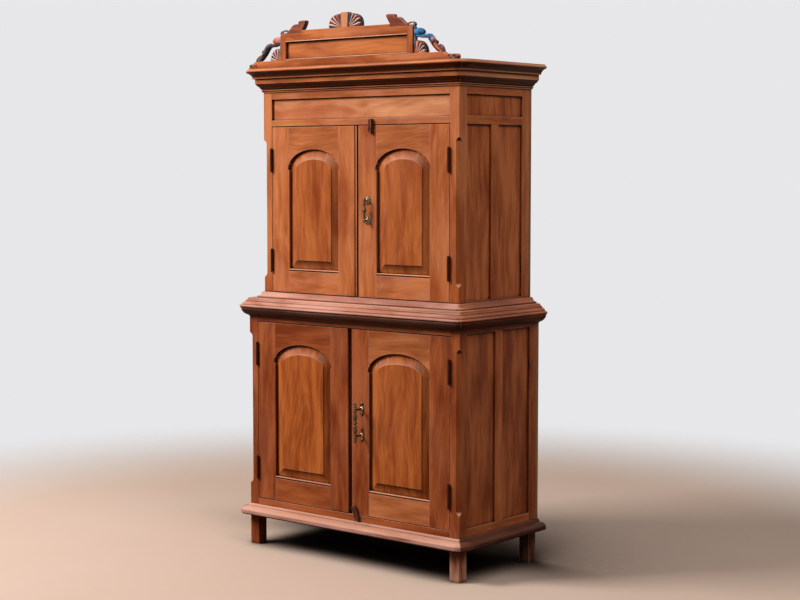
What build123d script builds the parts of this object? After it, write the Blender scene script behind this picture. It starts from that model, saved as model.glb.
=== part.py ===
"""Trastero: a tall two-stage cupboard in pine, with panelled doors, a cornice and a carved crest.

Frame: X to the right along the front, Y to the back, Z up. The origin is on the floor, under the
middle of the whole cabinet. Millimetres.
"""
from build123d import *
import os
from math import cos, radians, sin
from types import SimpleNamespace

os.makedirs("parts", exist_ok=True)

# ---------------------------------------------------------------- driving dimensions
CASE_W = 1060.0            # lower case, over its posts
CASE_D = 475.0             # lower case, front face to the back of the rear posts
POST = 44.0                # square section of every corner post
UPPER_INSET = 40.0         # upper case set in from each side of the lower one
UPPER_SETBACK = 46.0       # upper front set behind the lower front
BACK_T = 14.0              # boards nailed over the back
RAIL_T = 24.0              # rails and muntins
BOARD_T = 18.0             # floors, shelves, deck and top
PANEL_T = 8.0              # flat panels of the sides and the frieze
PANEL_SUNK = 9.0           # those panels lie this far behind their frame
TONGUE = 8.0               # how far a panel runs into its grooves
MUNTIN = 44.0              # upright that parts the two side panels

BACK_BOARDS = 5
BOARD_JOINT = 0.8          # open joint between two back boards
SHELF_EASE = 1.0           # shelf to the frame round it
CLEAT_H = 20.0             # strips that carry the shelves

LEG_CLEAR = 126.0          # floor to the lower rails
BOTTOM_RAIL = 61.0
LOWER_OPENING = 711.0
LOWER_TOP_RAIL = 74.0
UPPER_BOTTOM_RAIL = 22.0
UPPER_OPENING = 652.0
HEAD_RAIL = 24.0
FRIEZE_H = 81.0
TOP_RAIL = 102.0
SIDE_RAIL_RISE = 5.0       # side rails reach this far past the front rails' edges
UPPER_SIDE_DROP = 3.0      # upper side rail comes down this far below the front opening's head

WAIST_H = 73.0             # heights of the mouldings' sections
CORNICE_H = 91.0

DOOR_T = 27.0
DOOR_GAP = 3.0             # above and below a door
PANEL_DEPTH = 13.0         # stile face to the low edge of the raised panel
FIELD_STEP = 2.5           # square step round the raised field
FIELD_BELOW = 0.5          # field behind the stile face
BEVEL_W = 38.0             # slope round the field
GROOVE_T = 7.0
SHOULDER = 6.0             # the arch starts this far outside the panel's sides
ARCH_RISE = 80.0
BEAD_H = 7.0               # bead along the sill of each panel
QUIRK = 2.0                # width of the groove under the bead
QUIRK_D = 4.0              # and its depth
STOP_D = 16.0              # strip that the closed door lies against
STOP_GAP = 0.5

HINGE_GAP = 2.6            # door edge to post
HINGE_H = 90.0
KNUCKLES = 5
KNUCKLE_GAP = 0.3
BARREL_R = 5.0
PIN_R = 2.5
PIN_PLAY = 0.05
LEAF_T = 1.1
LEAF_W = 22.0
BARREL_CLEAR = 0.5         # barrel to the wood behind it
PIN_HEAD_R = 4.0
PIN_HEAD_T = 2.5

CHAMFER = 15.0             # leg of the posts' stopped chamfers
STOP_ROUND = 18.0

BUTTON_LONG = 36.0         # turn button: pivot to its long end
BUTTON_SHORT = 17.0
BUTTON_W = 14.0
BUTTON_T = 13.0
BUTTON_OFF = 0.4           # button to the door behind it
SCREW_R = 2.0
SCREW_HEAD_R = 4.2
SCREW_HEAD_T = 2.0
SCREW_DEPTH = 15.0
SCREW_PLAY = 0.2           # button to the screw's head

ROSETTE_T = 3.0
ARM_THINNER = 0.8          # a handle's arms are thinner than its rod by this
UPPER_BAR_PROUD = 27.0     # upper handle, out from the door
UPPER_ARM_HALF = 38.0      # middle of a handle to each arm
UPPER_BAR_HALF = 45.0
UPPER_BAR_R = 4.5
UPPER_KNOB_R = 7.0
UPPER_ROSETTE_R = 15.0
LOWER_BAR_PROUD = 48.0
LOWER_ARM_HALF = 50.0
LOWER_BAR_HALF = 75.0
LOWER_BAR_R = 5.5
LOWER_BEAD_R = 8.0
LOWER_ROSETTE_HALF_W = 12.0
LOWER_ROSETTE_HALF_H = 28.0

CREST_FORWARD = 51.0       # crest's face in front of the upper case
CREST_T = 24.0
CREST_RAIL = 27.0
CREST_RAIL_END = 18.5      # height of the rail's lowered round ends
CREST_RAIL_SLOPE = 12.0    # slope from the rail's full height down to them
CREST_RAIL_HALF = 509.0
CREST_X = -16.0            # the crest stands a little to the left on its base rail
CREST_POST_OUT = 330.0
CREST_POST = 26.0
CREST_PANEL_H = 69.0
CREST_TOP_RAIL = 42.0
CREST_EAR_SEAT = 11.0      # posts and the top rail's ends under the ears stand this much lower
CREST_EAR_IN = 221.0       # crest's middle to the ears' inner ends
CREST_PANEL_SUNK = 10.0
CARVING_T = 22.0
SHELL_X = -2.5             # from the crest's middle
SHELL_HALF = 81.0
SHELL_RIBS_H = 52.0        # ribbed halves
SHELL_H = 56.0             # plain band between them
SHELL_BAND_HALF = 17.3
SHELL_POWER = 3.0          # roundness of the shell's outline, where 2 is an ellipse
FAN_HUB = 18.0             # post to the fan's hub
FAN_W = 43.0
FAN_H = 46.0
BRACKET_REACH = 140.0      # scroll bracket: post to the end of its foot

# ---------------------------------------------------------------- places worked out from them
FRONT = -(CASE_D + BACK_T - LOWER_BAR_PROUD) / 2    # lower case's front face
REAR = FRONT + CASE_D
BACK = REAR + BACK_T

LOWER_SILL = LEG_CLEAR + BOTTOM_RAIL
LOWER_HEAD = LOWER_SILL + LOWER_OPENING
DECK = LOWER_HEAD + LOWER_TOP_RAIL
DECK_TOP = DECK + BOARD_T
UPPER_SILL = DECK_TOP + UPPER_BOTTOM_RAIL
UPPER_HEAD = UPPER_SILL + UPPER_OPENING
FRIEZE_LOW = UPPER_HEAD + HEAD_RAIL
FRIEZE_HIGH = FRIEZE_LOW + FRIEZE_H
LID = FRIEZE_HIGH + TOP_RAIL
LID_TOP = LID + BOARD_T

# Each case in turn. Widths of door parts run from the middle line; the hinges, chamfers and turn
# button are given by height, and shelves by their rise over the floor of their case.
lower = SimpleNamespace(
    name="lower", half=CASE_W / 2, face=FRONT, foot=0.0, top=DECK,
    sill=LOWER_SILL, head=LOWER_HEAD, rails_low=LEG_CLEAR,
    chamfer_low=LEG_CLEAR + 119, chamfer_high=LOWER_HEAD - 46,
    stile_out=92.4, panel_in=98.0, door_sill=97.0, door_crown=79.0,
    left_edge=-8.0, left_step=-8.0, tongue=-6.0, right_edge=14.0,
    hinges=(LOWER_SILL + 125, LOWER_HEAD - 131), shelves=(350.0,),
    handle_in=50.0, handle_up=356.0, button_in=19.0, button_z=LOWER_SILL + DOOR_GAP + 14, button_turn=201.0,
)
upper = SimpleNamespace(
    name="upper", half=CASE_W / 2 - UPPER_INSET, face=FRONT + UPPER_SETBACK, foot=DECK_TOP, top=LID,
    sill=UPPER_SILL, head=UPPER_HEAD, rails_low=DECK_TOP,
    chamfer_low=UPPER_SILL + 58, chamfer_high=UPPER_HEAD - 50,
    stile_out=89.4, panel_in=96.0, door_sill=93.0, door_crown=87.0,
    left_edge=-4.0, left_step=-14.0, tongue=-2.0, right_edge=8.0,
    hinges=(UPPER_SILL + 125, UPPER_HEAD - 133), shelves=(215.0, 430.0),
    handle_in=46.0, handle_up=328.0, button_in=64.5, button_z=UPPER_HEAD - DOOR_GAP - 11, button_turn=-3.0,
)


# ---------------------------------------------------------------- helpers
FROM_FOOT = (Align.CENTER, Align.CENTER, Align.MIN)
FROM_TOP = (Align.CENTER, Align.CENTER, Align.MAX)


def save(piece, name, x=0.0):
    """Label a finished piece and write it to its own file, moved along by x."""
    placed = piece.part.moved(Location((x, 0, 0)))
    placed.label = name
    export_step(placed, f"parts/{name}.step")


def block(x, y, z, mode=Mode.ADD):
    """A square-edged board between three pairs of low and high values."""
    with Locations((sum(x) / 2, sum(y) / 2, sum(z) / 2)):
        Box(x[1] - x[0], y[1] - y[0], z[1] - z[0], mode=mode)


def span(*ends):
    """The two ends in rising order."""
    return min(ends), max(ends)


def facing_front(y, x=0.0):
    """A plane that looks out of the front, with its own x to the right and y up."""
    return Plane(origin=(x, y, 0), x_dir=(1, 0, 0), z_dir=(0, -1, 0))


def facing_right(x, y):
    """A section plane across the front: its own x runs out of the front and its y up."""
    return Plane(origin=(x, y, 0), x_dir=(0, -1, 0), z_dir=(-1, 0, 0))


# ---------------------------------------------------------------- posts
def stop_chamfer(stage, side):
    """Cutter for the stopped chamfer on a front post's outer corner, with scooped ends."""
    low, high = stage.chamfer_low, stage.chamfer_high
    reach = CHAMFER / 2 ** 0.5
    turned = Plane(origin=(side * stage.half, stage.face, 0), x_dir=(side, -1, 0), z_dir=(0, 0, 1))
    with BuildPart() as cutter:
        with BuildSketch(turned.offset(low)):
            with Locations((POST / 2 - reach, 0)):
                Rectangle(POST, 2 * POST)
        extrude(amount=high - low)
        inner = cutter.faces().sort_by(Axis((0, 0, 0), (side, -1, 0)))[0]
        ends = inner.edges().sort_by(Axis.Z)
        fillet([ends[0], ends[-1]], radius=STOP_ROUND)
    return cutter


def side_openings(stage):
    """The two tall panel openings in each side, as pairs of y and z."""
    y_front = stage.face + POST
    y_back = REAR - POST
    middle = (y_front + y_back) / 2
    z_high = stage.head + SIDE_RAIL_RISE if stage is lower else stage.head - UPPER_SIDE_DROP
    z = (stage.sill + SIDE_RAIL_RISE, z_high)
    return [((y_front, middle - MUNTIN / 2), z), ((middle + MUNTIN / 2, y_back), z)]


def small_opening():
    """The wide panel opening above them in the upper case."""
    return (upper.face + POST, REAR - POST), (FRIEZE_LOW + SIDE_RAIL_RISE, FRIEZE_HIGH)


def all_openings(stage):
    """Every panel opening in one side of a case."""
    return side_openings(stage) + ([small_opening()] if stage is upper else [])


def side_panel_blocks(stage, mode=Mode.ADD):
    """The flat side panels with their tongues, or the room that they need in the frame."""
    for side in (-1, 1):
        outer = side * (stage.half - PANEL_SUNK)
        x = span(outer, outer - side * PANEL_T)
        for y, z in all_openings(stage):
            block(x, (y[0] - TONGUE, y[1] + TONGUE), (z[0] - TONGUE, z[1] + TONGUE), mode)


def frieze_block(mode=Mode.ADD):
    """The frieze panel with its tongues, or the room that it needs."""
    half = upper.half - POST + TONGUE
    y = (upper.face + PANEL_SUNK, upper.face + PANEL_SUNK + PANEL_T)
    block((-half, half), y, (FRIEZE_LOW - TONGUE, FRIEZE_HIGH + TONGUE), mode)


def posts(stage):
    """Four square posts; the front pair has stopped chamfers on its outer corners."""
    cutters = [stop_chamfer(stage, side) for side in (-1, 1)]
    with BuildPart() as made:
        for side in (-1, 1):
            x = span(side * stage.half, side * (stage.half - POST))
            block(x, (stage.face, stage.face + POST), (stage.foot, stage.top))
            block(x, (REAR - POST, REAR), (stage.foot, stage.top))
        for cutter in cutters:
            add(cutter.part, mode=Mode.SUBTRACT)
        side_panel_blocks(stage, Mode.SUBTRACT)
        if stage is upper:
            frieze_block(Mode.SUBTRACT)
    save(made, f"{stage.name}_posts")


for stage in (lower, upper):
    posts(stage)

# ---------------------------------------------------------------- front rails and frieze
LOWER_IN = lower.half - POST
UPPER_IN = upper.half - POST

with BuildPart() as lower_front_rails:
    for z in ((LEG_CLEAR, LOWER_SILL), (LOWER_HEAD, DECK)):
        block((-LOWER_IN, LOWER_IN), (FRONT, FRONT + RAIL_T), z)
save(lower_front_rails, "lower_front_rails")

with BuildPart() as upper_front_rails:
    for z in ((DECK_TOP, UPPER_SILL), (UPPER_HEAD, FRIEZE_LOW), (FRIEZE_HIGH, LID)):
        block((-UPPER_IN, UPPER_IN), (upper.face, upper.face + RAIL_T), z)
    frieze_block(Mode.SUBTRACT)
save(upper_front_rails, "upper_front_rails")

with BuildPart() as frieze_panel:
    frieze_block()
save(frieze_panel, "frieze_panel")

# Strips under the head of each opening, which the closed doors lie against.
with BuildPart() as door_stops:
    for stage in (lower, upper):
        inside = stage.half - POST
        y = stage.face + DOOR_T + STOP_GAP
        block((-inside, inside), (y, y + STOP_D), (stage.head - STOP_D, stage.head + STOP_D))
        behind_rail = (stage.face + RAIL_T, y)
        block((-inside, inside), behind_rail, (stage.head + DOOR_GAP, stage.head + STOP_D))
save(door_stops, "door_stops")


# ---------------------------------------------------------------- sides and back
def side_rails(stage):
    """Side and rear rails between the posts."""
    z_low, z_high = side_openings(stage)[0][1]
    bands = [(stage.rails_low, z_low), (z_high, stage.top)]
    if stage is upper:
        small_low, small_high = small_opening()[1]
        bands = [(stage.rails_low, z_low), (z_high, small_low), (small_high, stage.top)]
    inside = stage.half - POST
    with BuildPart() as made:
        for side in (-1, 1):
            x = span(side * stage.half, side * (stage.half - RAIL_T))
            for z in bands:
                block(x, (stage.face + POST, REAR - POST), z)
        side_panel_blocks(stage, Mode.SUBTRACT)
        for z in (bands[0], bands[-1]):
            block((-inside, inside), (REAR - RAIL_T, REAR), z)
    save(made, f"{stage.name}_side_rails")


def side_panels(stage):
    """The flat panels in both sides."""
    with BuildPart() as made:
        side_panel_blocks(stage)
    save(made, f"{stage.name}_side_panels")


def back_boards(stage, z):
    """Upright boards over the back, from side to side."""
    pitch = 2 * stage.half / BACK_BOARDS
    with BuildPart() as made:
        for index in range(BACK_BOARDS):
            left = -stage.half + index * pitch
            right = left + pitch - (BOARD_JOINT if index < BACK_BOARDS - 1 else 0)
            block((left, right), (REAR, BACK), z)
    save(made, f"{stage.name}_back_boards")


side_rails(lower)
side_rails(upper)
side_panels(lower)
side_panels(upper)
back_boards(lower, (LEG_CLEAR, DECK_TOP))
back_boards(upper, (DECK_TOP, LID_TOP))

with BuildPart() as side_muntins:
    for stage in (lower, upper):
        front_opening, rear_opening = side_openings(stage)
        for side in (-1, 1):
            x = span(side * stage.half, side * (stage.half - RAIL_T))
            block(x, (front_opening[0][1], rear_opening[0][0]), front_opening[1])
        side_panel_blocks(stage, Mode.SUBTRACT)
save(side_muntins, "side_muntins")

# ---------------------------------------------------------------- floors, shelves, deck and top
def inside_depth(stage):
    """Front and back of a shelf, just behind the doors and in front of the rear rails."""
    return stage.face + DOOR_T + STOP_GAP + STOP_D, REAR - RAIL_T - SHELF_EASE


def shelves(stage):
    """The floor and the shelves above it, notched round the posts."""
    inside = stage.half - RAIL_T
    boards = [(0.0, 0.0, (stage.face + RAIL_T, REAR - RAIL_T))]
    boards += [(rise, SHELF_EASE, inside_depth(stage)) for rise in stage.shelves]
    with BuildPart() as made:
        for rise, ease, y in boards:
            z = (stage.sill + rise - BOARD_T, stage.sill + rise)
            block((-inside + ease, inside - ease), y, z)
            for side in (-1, 1):
                x = span(side * (stage.half - POST - ease), side * stage.half)
                block(x, (stage.face, stage.face + POST + ease), z, Mode.SUBTRACT)
                block(x, (REAR - POST - ease, REAR), z, Mode.SUBTRACT)
    save(made, f"{stage.name}_shelves")


for stage in (lower, upper):
    shelves(stage)

with BuildPart() as shelf_cleats:
    for stage in (lower, upper):
        for rise in stage.shelves:
            top = stage.sill + rise - BOARD_T
            for side in (-1, 1):
                x = span(side * (stage.half - POST), side * (stage.half - RAIL_T))
                block(x, (stage.face + POST, REAR - POST), (top - CLEAT_H, top))
save(shelf_cleats, "shelf_cleats")

with BuildPart() as deck_board:
    block((-lower.half, lower.half), (FRONT, REAR), (DECK, DECK_TOP))
save(deck_board, "deck_board")

with BuildPart() as top_board:
    block((-upper.half, upper.half), (upper.face, REAR), (LID, LID_TOP))
save(top_board, "top_board")


# ---------------------------------------------------------------- mouldings
def base_section(z):
    """Base moulding: a heavy ovolo, a groove, and a small sloped band above."""
    with BuildLine() as line:
        Polyline((0, z - 4), (35, z - 4), (40, z + 1), (40, z + 12))
        RadiusArc((40, z + 12), (22, z + 25), -22)
        Polyline((22, z + 25), (17, z + 25), (13, z + 27), (9, z + 27), (9, z + 30))
        Polyline((9, z + 30), (5, z + 36), (0, z + 37), (0, z - 4))
    return line.line


def waist_section(z):
    """Waist moulding over z: a cove, a rounded nose, and a stepped slope back to the case."""
    with BuildLine() as line:
        Polyline((0, z), (4, z), (4, z + 3))
        RadiusArc((4, z + 3), (35, z + 30), -38)
        Line((35, z + 30), (35, z + 33))
        ThreePointArc((35, z + 33), (40, z + 39), (35, z + 45))
        Polyline((35, z + 45), (29, z + 45), (29, z + 49))
        RadiusArc((29, z + 49), (16, z + 58), -18)
        Polyline((16, z + 58), (16, z + 63), (9, z + 64), (7, z + 70), (0, z + WAIST_H), (0, z))
    return line.line


def foot_section(z):
    """Small moulding round the foot of the upper case: a hollow over a square edge."""
    with BuildLine() as line:
        Polyline((0, z), (30, z), (30, z + 6), (24, z + 6))
        RadiusArc((24, z + 6), (12, z + 19), 16)
        Polyline((12, z + 19), (9, z + 22), (0, z + 22), (0, z))
    return line.line


def cornice_section(z):
    """Cornice over z: bead, two hollows, a plain band, a soffit, an ovolo and a half-round edge."""
    with BuildLine() as line:
        Polyline((0, z), (5, z), (5, z + 4))
        ThreePointArc((5, z + 4), (9, z + 7.5), (5, z + 11))
        Line((5, z + 11), (7, z + 12))
        RadiusArc((7, z + 12), (17, z + 21), -14)
        Line((17, z + 21), (19, z + 22))
        RadiusArc((19, z + 22), (31, z + 33), -17)
        Polyline((31, z + 33), (34, z + 33), (34, z + 53), (44, z + 53), (44, z + 58))
        RadiusArc((44, z + 58), (62, z + 74), 30)
        ThreePointArc((62, z + 74), (69, z + 81), (62, z + 88))
        Polyline((62, z + 88), (62, z + CORNICE_H), (0, z + CORNICE_H), (0, z))
    return line.line


def moulding(name, section, half, face):
    """A moulding round three sides, mitred at corners that turn about the posts' outer edges."""
    with BuildPart() as front:
        with BuildSketch(facing_right(half, face)):
            make_face(section.edges())
        extrude(amount=2 * half)
        with BuildSketch(facing_right(half, face)):
            make_face(section.edges())
        revolve(axis=Axis((half, face, 0), (0, 0, 1)), revolution_arc=45)
        with BuildSketch(facing_right(-half, face)):
            make_face(section.edges())
        revolve(axis=Axis((-half, face, 0), (0, 0, -1)), revolution_arc=45)
    save(front, f"{name}_front")

    outward = Plane(origin=(half, face, 0), x_dir=(1, 0, 0), z_dir=(0, -1, 0))
    with BuildPart() as sides:
        with BuildSketch(outward):
            make_face(section.edges())
        extrude(amount=-(BACK - face))
        with BuildSketch(outward):
            make_face(section.edges())
        revolve(axis=Axis((half, face, 0), (0, 0, -1)), revolution_arc=45)
        mirror(about=Plane.YZ)
    save(sides, f"{name}_sides")


moulding("base_moulding", base_section(LEG_CLEAR), lower.half, FRONT)
moulding("waist_moulding", waist_section(DECK_TOP - WAIST_H), lower.half, FRONT)
moulding("foot_moulding", foot_section(DECK_TOP), upper.half, upper.face)
moulding("cornice", cornice_section(LID_TOP - CORNICE_H), upper.half, upper.face)


# ---------------------------------------------------------------- doors
def arched(half, sill, spring, rise, shoulder=0.0):
    """A panel outline: square at the foot, half an ellipse at the head, with small shoulders."""
    wide = half + shoulder
    with BuildLine() as line:
        if shoulder:
            Line((-wide, spring), (-half, spring))
            Line((half, spring), (wide, spring))
        Polyline((-half, spring), (-half, sill), (half, sill), (half, spring))
        EllipticalCenterArc((0, spring), wide, rise, arc_size=180)
    return line.line


def hinge_axis(stage, side):
    """The x and y of a door's hinge pins: in the gap, just proud of the faces."""
    return side * (stage.half - POST - HINGE_GAP / 2), stage.face - BARREL_R - BARREL_CLEAR


def door(stage, side):
    """One framed door: two stiles, two rails and a raised panel with an arched head."""
    name = f"{stage.name}_{'left' if side < 0 else 'right'}_door"
    low, high = stage.sill + DOOR_GAP, stage.head - DOOR_GAP
    outer = side * (stage.half - POST - HINGE_GAP)
    panel_out = outer - side * stage.stile_out
    panel_in = side * stage.panel_in
    centre = (panel_in + panel_out) / 2
    half = abs(panel_out - panel_in) / 2
    sill = low + stage.door_sill
    spring = high - stage.door_crown - ARCH_RISE
    y = (stage.face, stage.face + DOOR_T)
    opening = arched(half, sill, spring, ARCH_RISE, SHOULDER)
    groove = arched(half + TONGUE, sill - TONGUE, spring, ARCH_RISE + TONGUE)
    slope_foot = arched(half, sill, spring, ARCH_RISE)
    field = arched(half - BEVEL_W, sill + BEVEL_W - 4, spring, ARCH_RISE - BEVEL_W)
    groove_y = stage.face + PANEL_DEPTH

    with BuildPart() as stiles:
        block(span(outer, panel_out), y, (low, high))
        if side < 0:
            block((panel_in, stage.left_edge), y, (low, high))
            if stage.left_step < stage.left_edge:
                block((stage.left_step, stage.left_edge), (y[0], y[0] + 4), (low, high), Mode.SUBTRACT)
        else:
            block((stage.tongue, panel_in), y, (low, high))
            block((stage.tongue, stage.right_edge), (y[0], groove_y), (low, high), Mode.SUBTRACT)
            pivot = (stage.right_edge + stage.button_in, y[0], stage.button_z)
            with Locations(Plane(origin=pivot, z_dir=(0, 1, 0))):
                Cylinder(SCREW_R, SCREW_DEPTH, align=FROM_FOOT, mode=Mode.SUBTRACT)
        with BuildSketch(facing_front(y[0], centre)):
            make_face(opening.edges())
        extrude(amount=-DOOR_T, mode=Mode.SUBTRACT)
        with BuildSketch(facing_front(groove_y, centre)):
            make_face(groove.edges())
        extrude(amount=-GROOVE_T, mode=Mode.SUBTRACT)
    save(stiles, f"{name}_stiles")

    with BuildPart() as rails:
        block(span(panel_in, panel_out), y, (low, sill))
        block(span(panel_in, panel_out), y, (spring, high))
        quirk_z = (sill - BEAD_H - QUIRK, sill - BEAD_H)
        block(span(panel_in, panel_out), (y[0], y[0] + QUIRK_D), quirk_z, Mode.SUBTRACT)
        with BuildSketch(facing_front(y[0], centre)):
            make_face(opening.edges())
        extrude(amount=-DOOR_T, mode=Mode.SUBTRACT)
        with BuildSketch(facing_front(groove_y, centre)):
            make_face(groove.edges())
        extrude(amount=-GROOVE_T, mode=Mode.SUBTRACT)
        bead_edges = rails.edges().filter_by(Axis.X).filter_by_position(Axis.Z, sill - BEAD_H, sill)
        fillet(bead_edges.filter_by_position(Axis.Y, y[0] - 0.1, y[0] + 0.1), radius=BEAD_H / 2 - 0.1)
    save(rails, f"{name}_rails")

    with BuildPart() as panel:
        with BuildSketch(facing_front(groove_y, centre)):
            make_face(groove.edges())
        extrude(amount=-GROOVE_T)
        field_y = stage.face + FIELD_BELOW
        with BuildSketch(facing_front(groove_y, centre)):
            make_face(slope_foot.edges())
        with BuildSketch(facing_front(field_y + FIELD_STEP, centre)):
            make_face(field.edges())
        loft(ruled=True)
        with BuildSketch(facing_front(field_y + FIELD_STEP, centre)):
            make_face(field.edges())
        extrude(amount=FIELD_STEP)
    save(panel, f"{name}_panel")


for stage in (lower, upper):
    for side in (-1, 1):
        door(stage, side)


# ---------------------------------------------------------------- hinges
def knuckle_rows(middle, first):
    """Every second knuckle of a hinge, from the first one named: low and high ends."""
    pitch = HINGE_H / KNUCKLES
    low = middle - HINGE_H / 2
    return [
        (low + index * pitch + KNUCKLE_GAP / 2, low + (index + 1) * pitch - KNUCKLE_GAP / 2)
        for index in range(first, KNUCKLES, 2)
    ]


def hinge_leaf(stage, side, middle, on_case):
    """One leaf with its knuckles, added to the part in hand."""
    x, y = hinge_axis(stage, side)
    towards = side if on_case else -side
    near = towards * (HINGE_GAP / 2 - LEAF_T)
    leaf_x = span(x + near, x + towards * HINGE_GAP / 2)
    z = (middle - HINGE_H / 2, middle + HINGE_H / 2)
    block(leaf_x, (stage.face, stage.face + LEAF_W), z)
    wall = (PIN_R + BARREL_R) / 2
    for low, high in knuckle_rows(middle, 0 if on_case else 1):
        with Locations((x, y, (low + high) / 2)):
            Cylinder(BARREL_R, high - low)
        block(leaf_x, (y + wall, stage.face), (low, high))
        with Locations((x, y, (low + high) / 2)):
            Cylinder(PIN_R + PIN_PLAY, high - low, mode=Mode.SUBTRACT)


with BuildPart() as hinge_case_leaves:
    for stage in (lower, upper):
        for side in (-1, 1):
            for middle in stage.hinges:
                hinge_leaf(stage, side, middle, True)
save(hinge_case_leaves, "hinge_case_leaves")

for stage in (lower, upper):
    for side in (-1, 1):
        with BuildPart() as door_leaves:
            for middle in stage.hinges:
                hinge_leaf(stage, side, middle, False)
        save(door_leaves, f"{stage.name}_{'left' if side < 0 else 'right'}_door_hinge_leaves")

with BuildPart() as hinge_pins:
    for stage in (lower, upper):
        for side in (-1, 1):
            x, y = hinge_axis(stage, side)
            for middle in stage.hinges:
                top = middle + HINGE_H / 2 - KNUCKLE_GAP / 2
                with Locations((x, y, top)):
                    Cylinder(PIN_R, HINGE_H, align=FROM_TOP)
                    Cylinder(PIN_HEAD_R, PIN_HEAD_T, align=FROM_FOOT)
save(hinge_pins, "hinge_pins")

# ---------------------------------------------------------------- turn buttons
for stage in (lower, upper):
    turn = radians(stage.button_turn)
    pivot = (stage.right_edge + stage.button_in, stage.face - BUTTON_OFF, stage.button_z)
    seat = Plane(origin=pivot, x_dir=(cos(turn), 0, sin(turn)), z_dir=(0, -1, 0))
    with BuildPart() as button:
        with BuildSketch(seat):
            with Locations((0, (BUTTON_LONG - BUTTON_SHORT) / 2)):
                RectangleRounded(BUTTON_W, BUTTON_LONG + BUTTON_SHORT, 3.0)
        extrude(amount=BUTTON_T)
        with Locations(seat.offset(BUTTON_T / 2)):
            Cylinder(SCREW_R + PIN_PLAY, BUTTON_T, mode=Mode.SUBTRACT)
    save(button, f"{stage.name}_turn_button")

    with BuildPart() as screw:
        with Locations(seat.offset(BUTTON_T + SCREW_PLAY)):
            Cylinder(SCREW_HEAD_R, SCREW_HEAD_T, align=FROM_FOOT)
        fillet(screw.edges().filter_by(GeomType.CIRCLE).sort_by(Axis.Y)[0], radius=SCREW_HEAD_T / 2)
        shank = SCREW_DEPTH + BUTTON_OFF + BUTTON_T + SCREW_PLAY
        with Locations(seat.offset(BUTTON_T + SCREW_PLAY)):
            Cylinder(SCREW_R, shank, align=FROM_TOP)
    save(screw, f"{stage.name}_button_screw")

# ---------------------------------------------------------------- handles
UPPER_HANDLE_X = upper.right_edge + upper.handle_in
UPPER_HANDLE_Z = upper.sill + DOOR_GAP + upper.handle_up
LOWER_HANDLE_X = lower.right_edge + lower.handle_in
LOWER_HANDLE_Z = lower.sill + DOOR_GAP + lower.handle_up

with BuildPart() as upper_handle_rosettes:
    for end in (-1, 1):
        with BuildSketch(facing_front(upper.face)):
            with Locations((UPPER_HANDLE_X, UPPER_HANDLE_Z + end * UPPER_ARM_HALF)):
                Circle(UPPER_ROSETTE_R)
        extrude(amount=ROSETTE_T)
save(upper_handle_rosettes, "upper_handle_rosettes")

with BuildPart() as lower_handle_rosettes:
    for end in (-1, 1):
        middle = LOWER_HANDLE_Z + end * LOWER_ARM_HALF
        tips = [(LOWER_HANDLE_X, middle + up * LOWER_ROSETTE_HALF_H) for up in (1, -1)]
        with BuildSketch(facing_front(lower.face)):
            with BuildLine():
                for out in (-1, 1):
                    waist = (LOWER_HANDLE_X + out * LOWER_ROSETTE_HALF_W, middle)
                    ThreePointArc(tips[0], waist, tips[1])
            make_face()
        extrude(amount=ROSETTE_T)
save(lower_handle_rosettes, "lower_handle_rosettes")


def bar_rod(x, y, z, half, radius):
    """The upright rod of a handle, with round ends."""
    with Locations((x, y, z)):
        Cylinder(radius, 2 * (half - radius))
    for end in (-1, 1):
        with Locations((x, y, z + end * (half - radius))):
            Sphere(radius)


def bar_arm(x, z, face, y, radius):
    """One arm from the rosette's face out to the middle of the rod."""
    with Locations(Plane(origin=(x, y, z), z_dir=(0, 1, 0))):
        reach = face - ROSETTE_T - y
        Cylinder(radius, reach, align=FROM_FOOT)


with BuildPart() as upper_handle_bar:
    bar_y = upper.face - UPPER_BAR_PROUD + UPPER_KNOB_R
    bar_rod(UPPER_HANDLE_X, bar_y, UPPER_HANDLE_Z, UPPER_BAR_HALF, UPPER_BAR_R)
    with Locations((UPPER_HANDLE_X, bar_y, UPPER_HANDLE_Z)):
        Sphere(UPPER_KNOB_R)
    for end in (-1, 1):
        arm_z = UPPER_HANDLE_Z + end * UPPER_ARM_HALF
        bar_arm(UPPER_HANDLE_X, arm_z, upper.face, bar_y, UPPER_BAR_R - ARM_THINNER)
save(upper_handle_bar, "upper_handle_bar")

with BuildPart() as lower_handle_bar:
    bar_y = lower.face - LOWER_BAR_PROUD + LOWER_BEAD_R
    bar_rod(LOWER_HANDLE_X, bar_y, LOWER_HANDLE_Z, LOWER_BAR_HALF, LOWER_BAR_R)
    for end in (-1, 1):
        arm_z = LOWER_HANDLE_Z + end * LOWER_ARM_HALF
        with Locations((LOWER_HANDLE_X, bar_y, arm_z)):
            Sphere(LOWER_BEAD_R)
        bar_arm(LOWER_HANDLE_X, arm_z, lower.face, bar_y, LOWER_BAR_R - ARM_THINNER)
save(lower_handle_bar, "lower_handle_bar")

# ---------------------------------------------------------------- crest
CREST_FACE = upper.face - CREST_FORWARD
CREST_Z = LID_TOP
CREST_POST_Z = CREST_Z + CREST_RAIL
CREST_TOP_Z = CREST_POST_Z + CREST_PANEL_H
CARVING_Z = CREST_TOP_Z + CREST_TOP_RAIL
EAR_SEAT_Z = CARVING_Z - CREST_EAR_SEAT
CARVING_FACE = CREST_FACE + (CREST_T - CARVING_T) / 2

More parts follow.
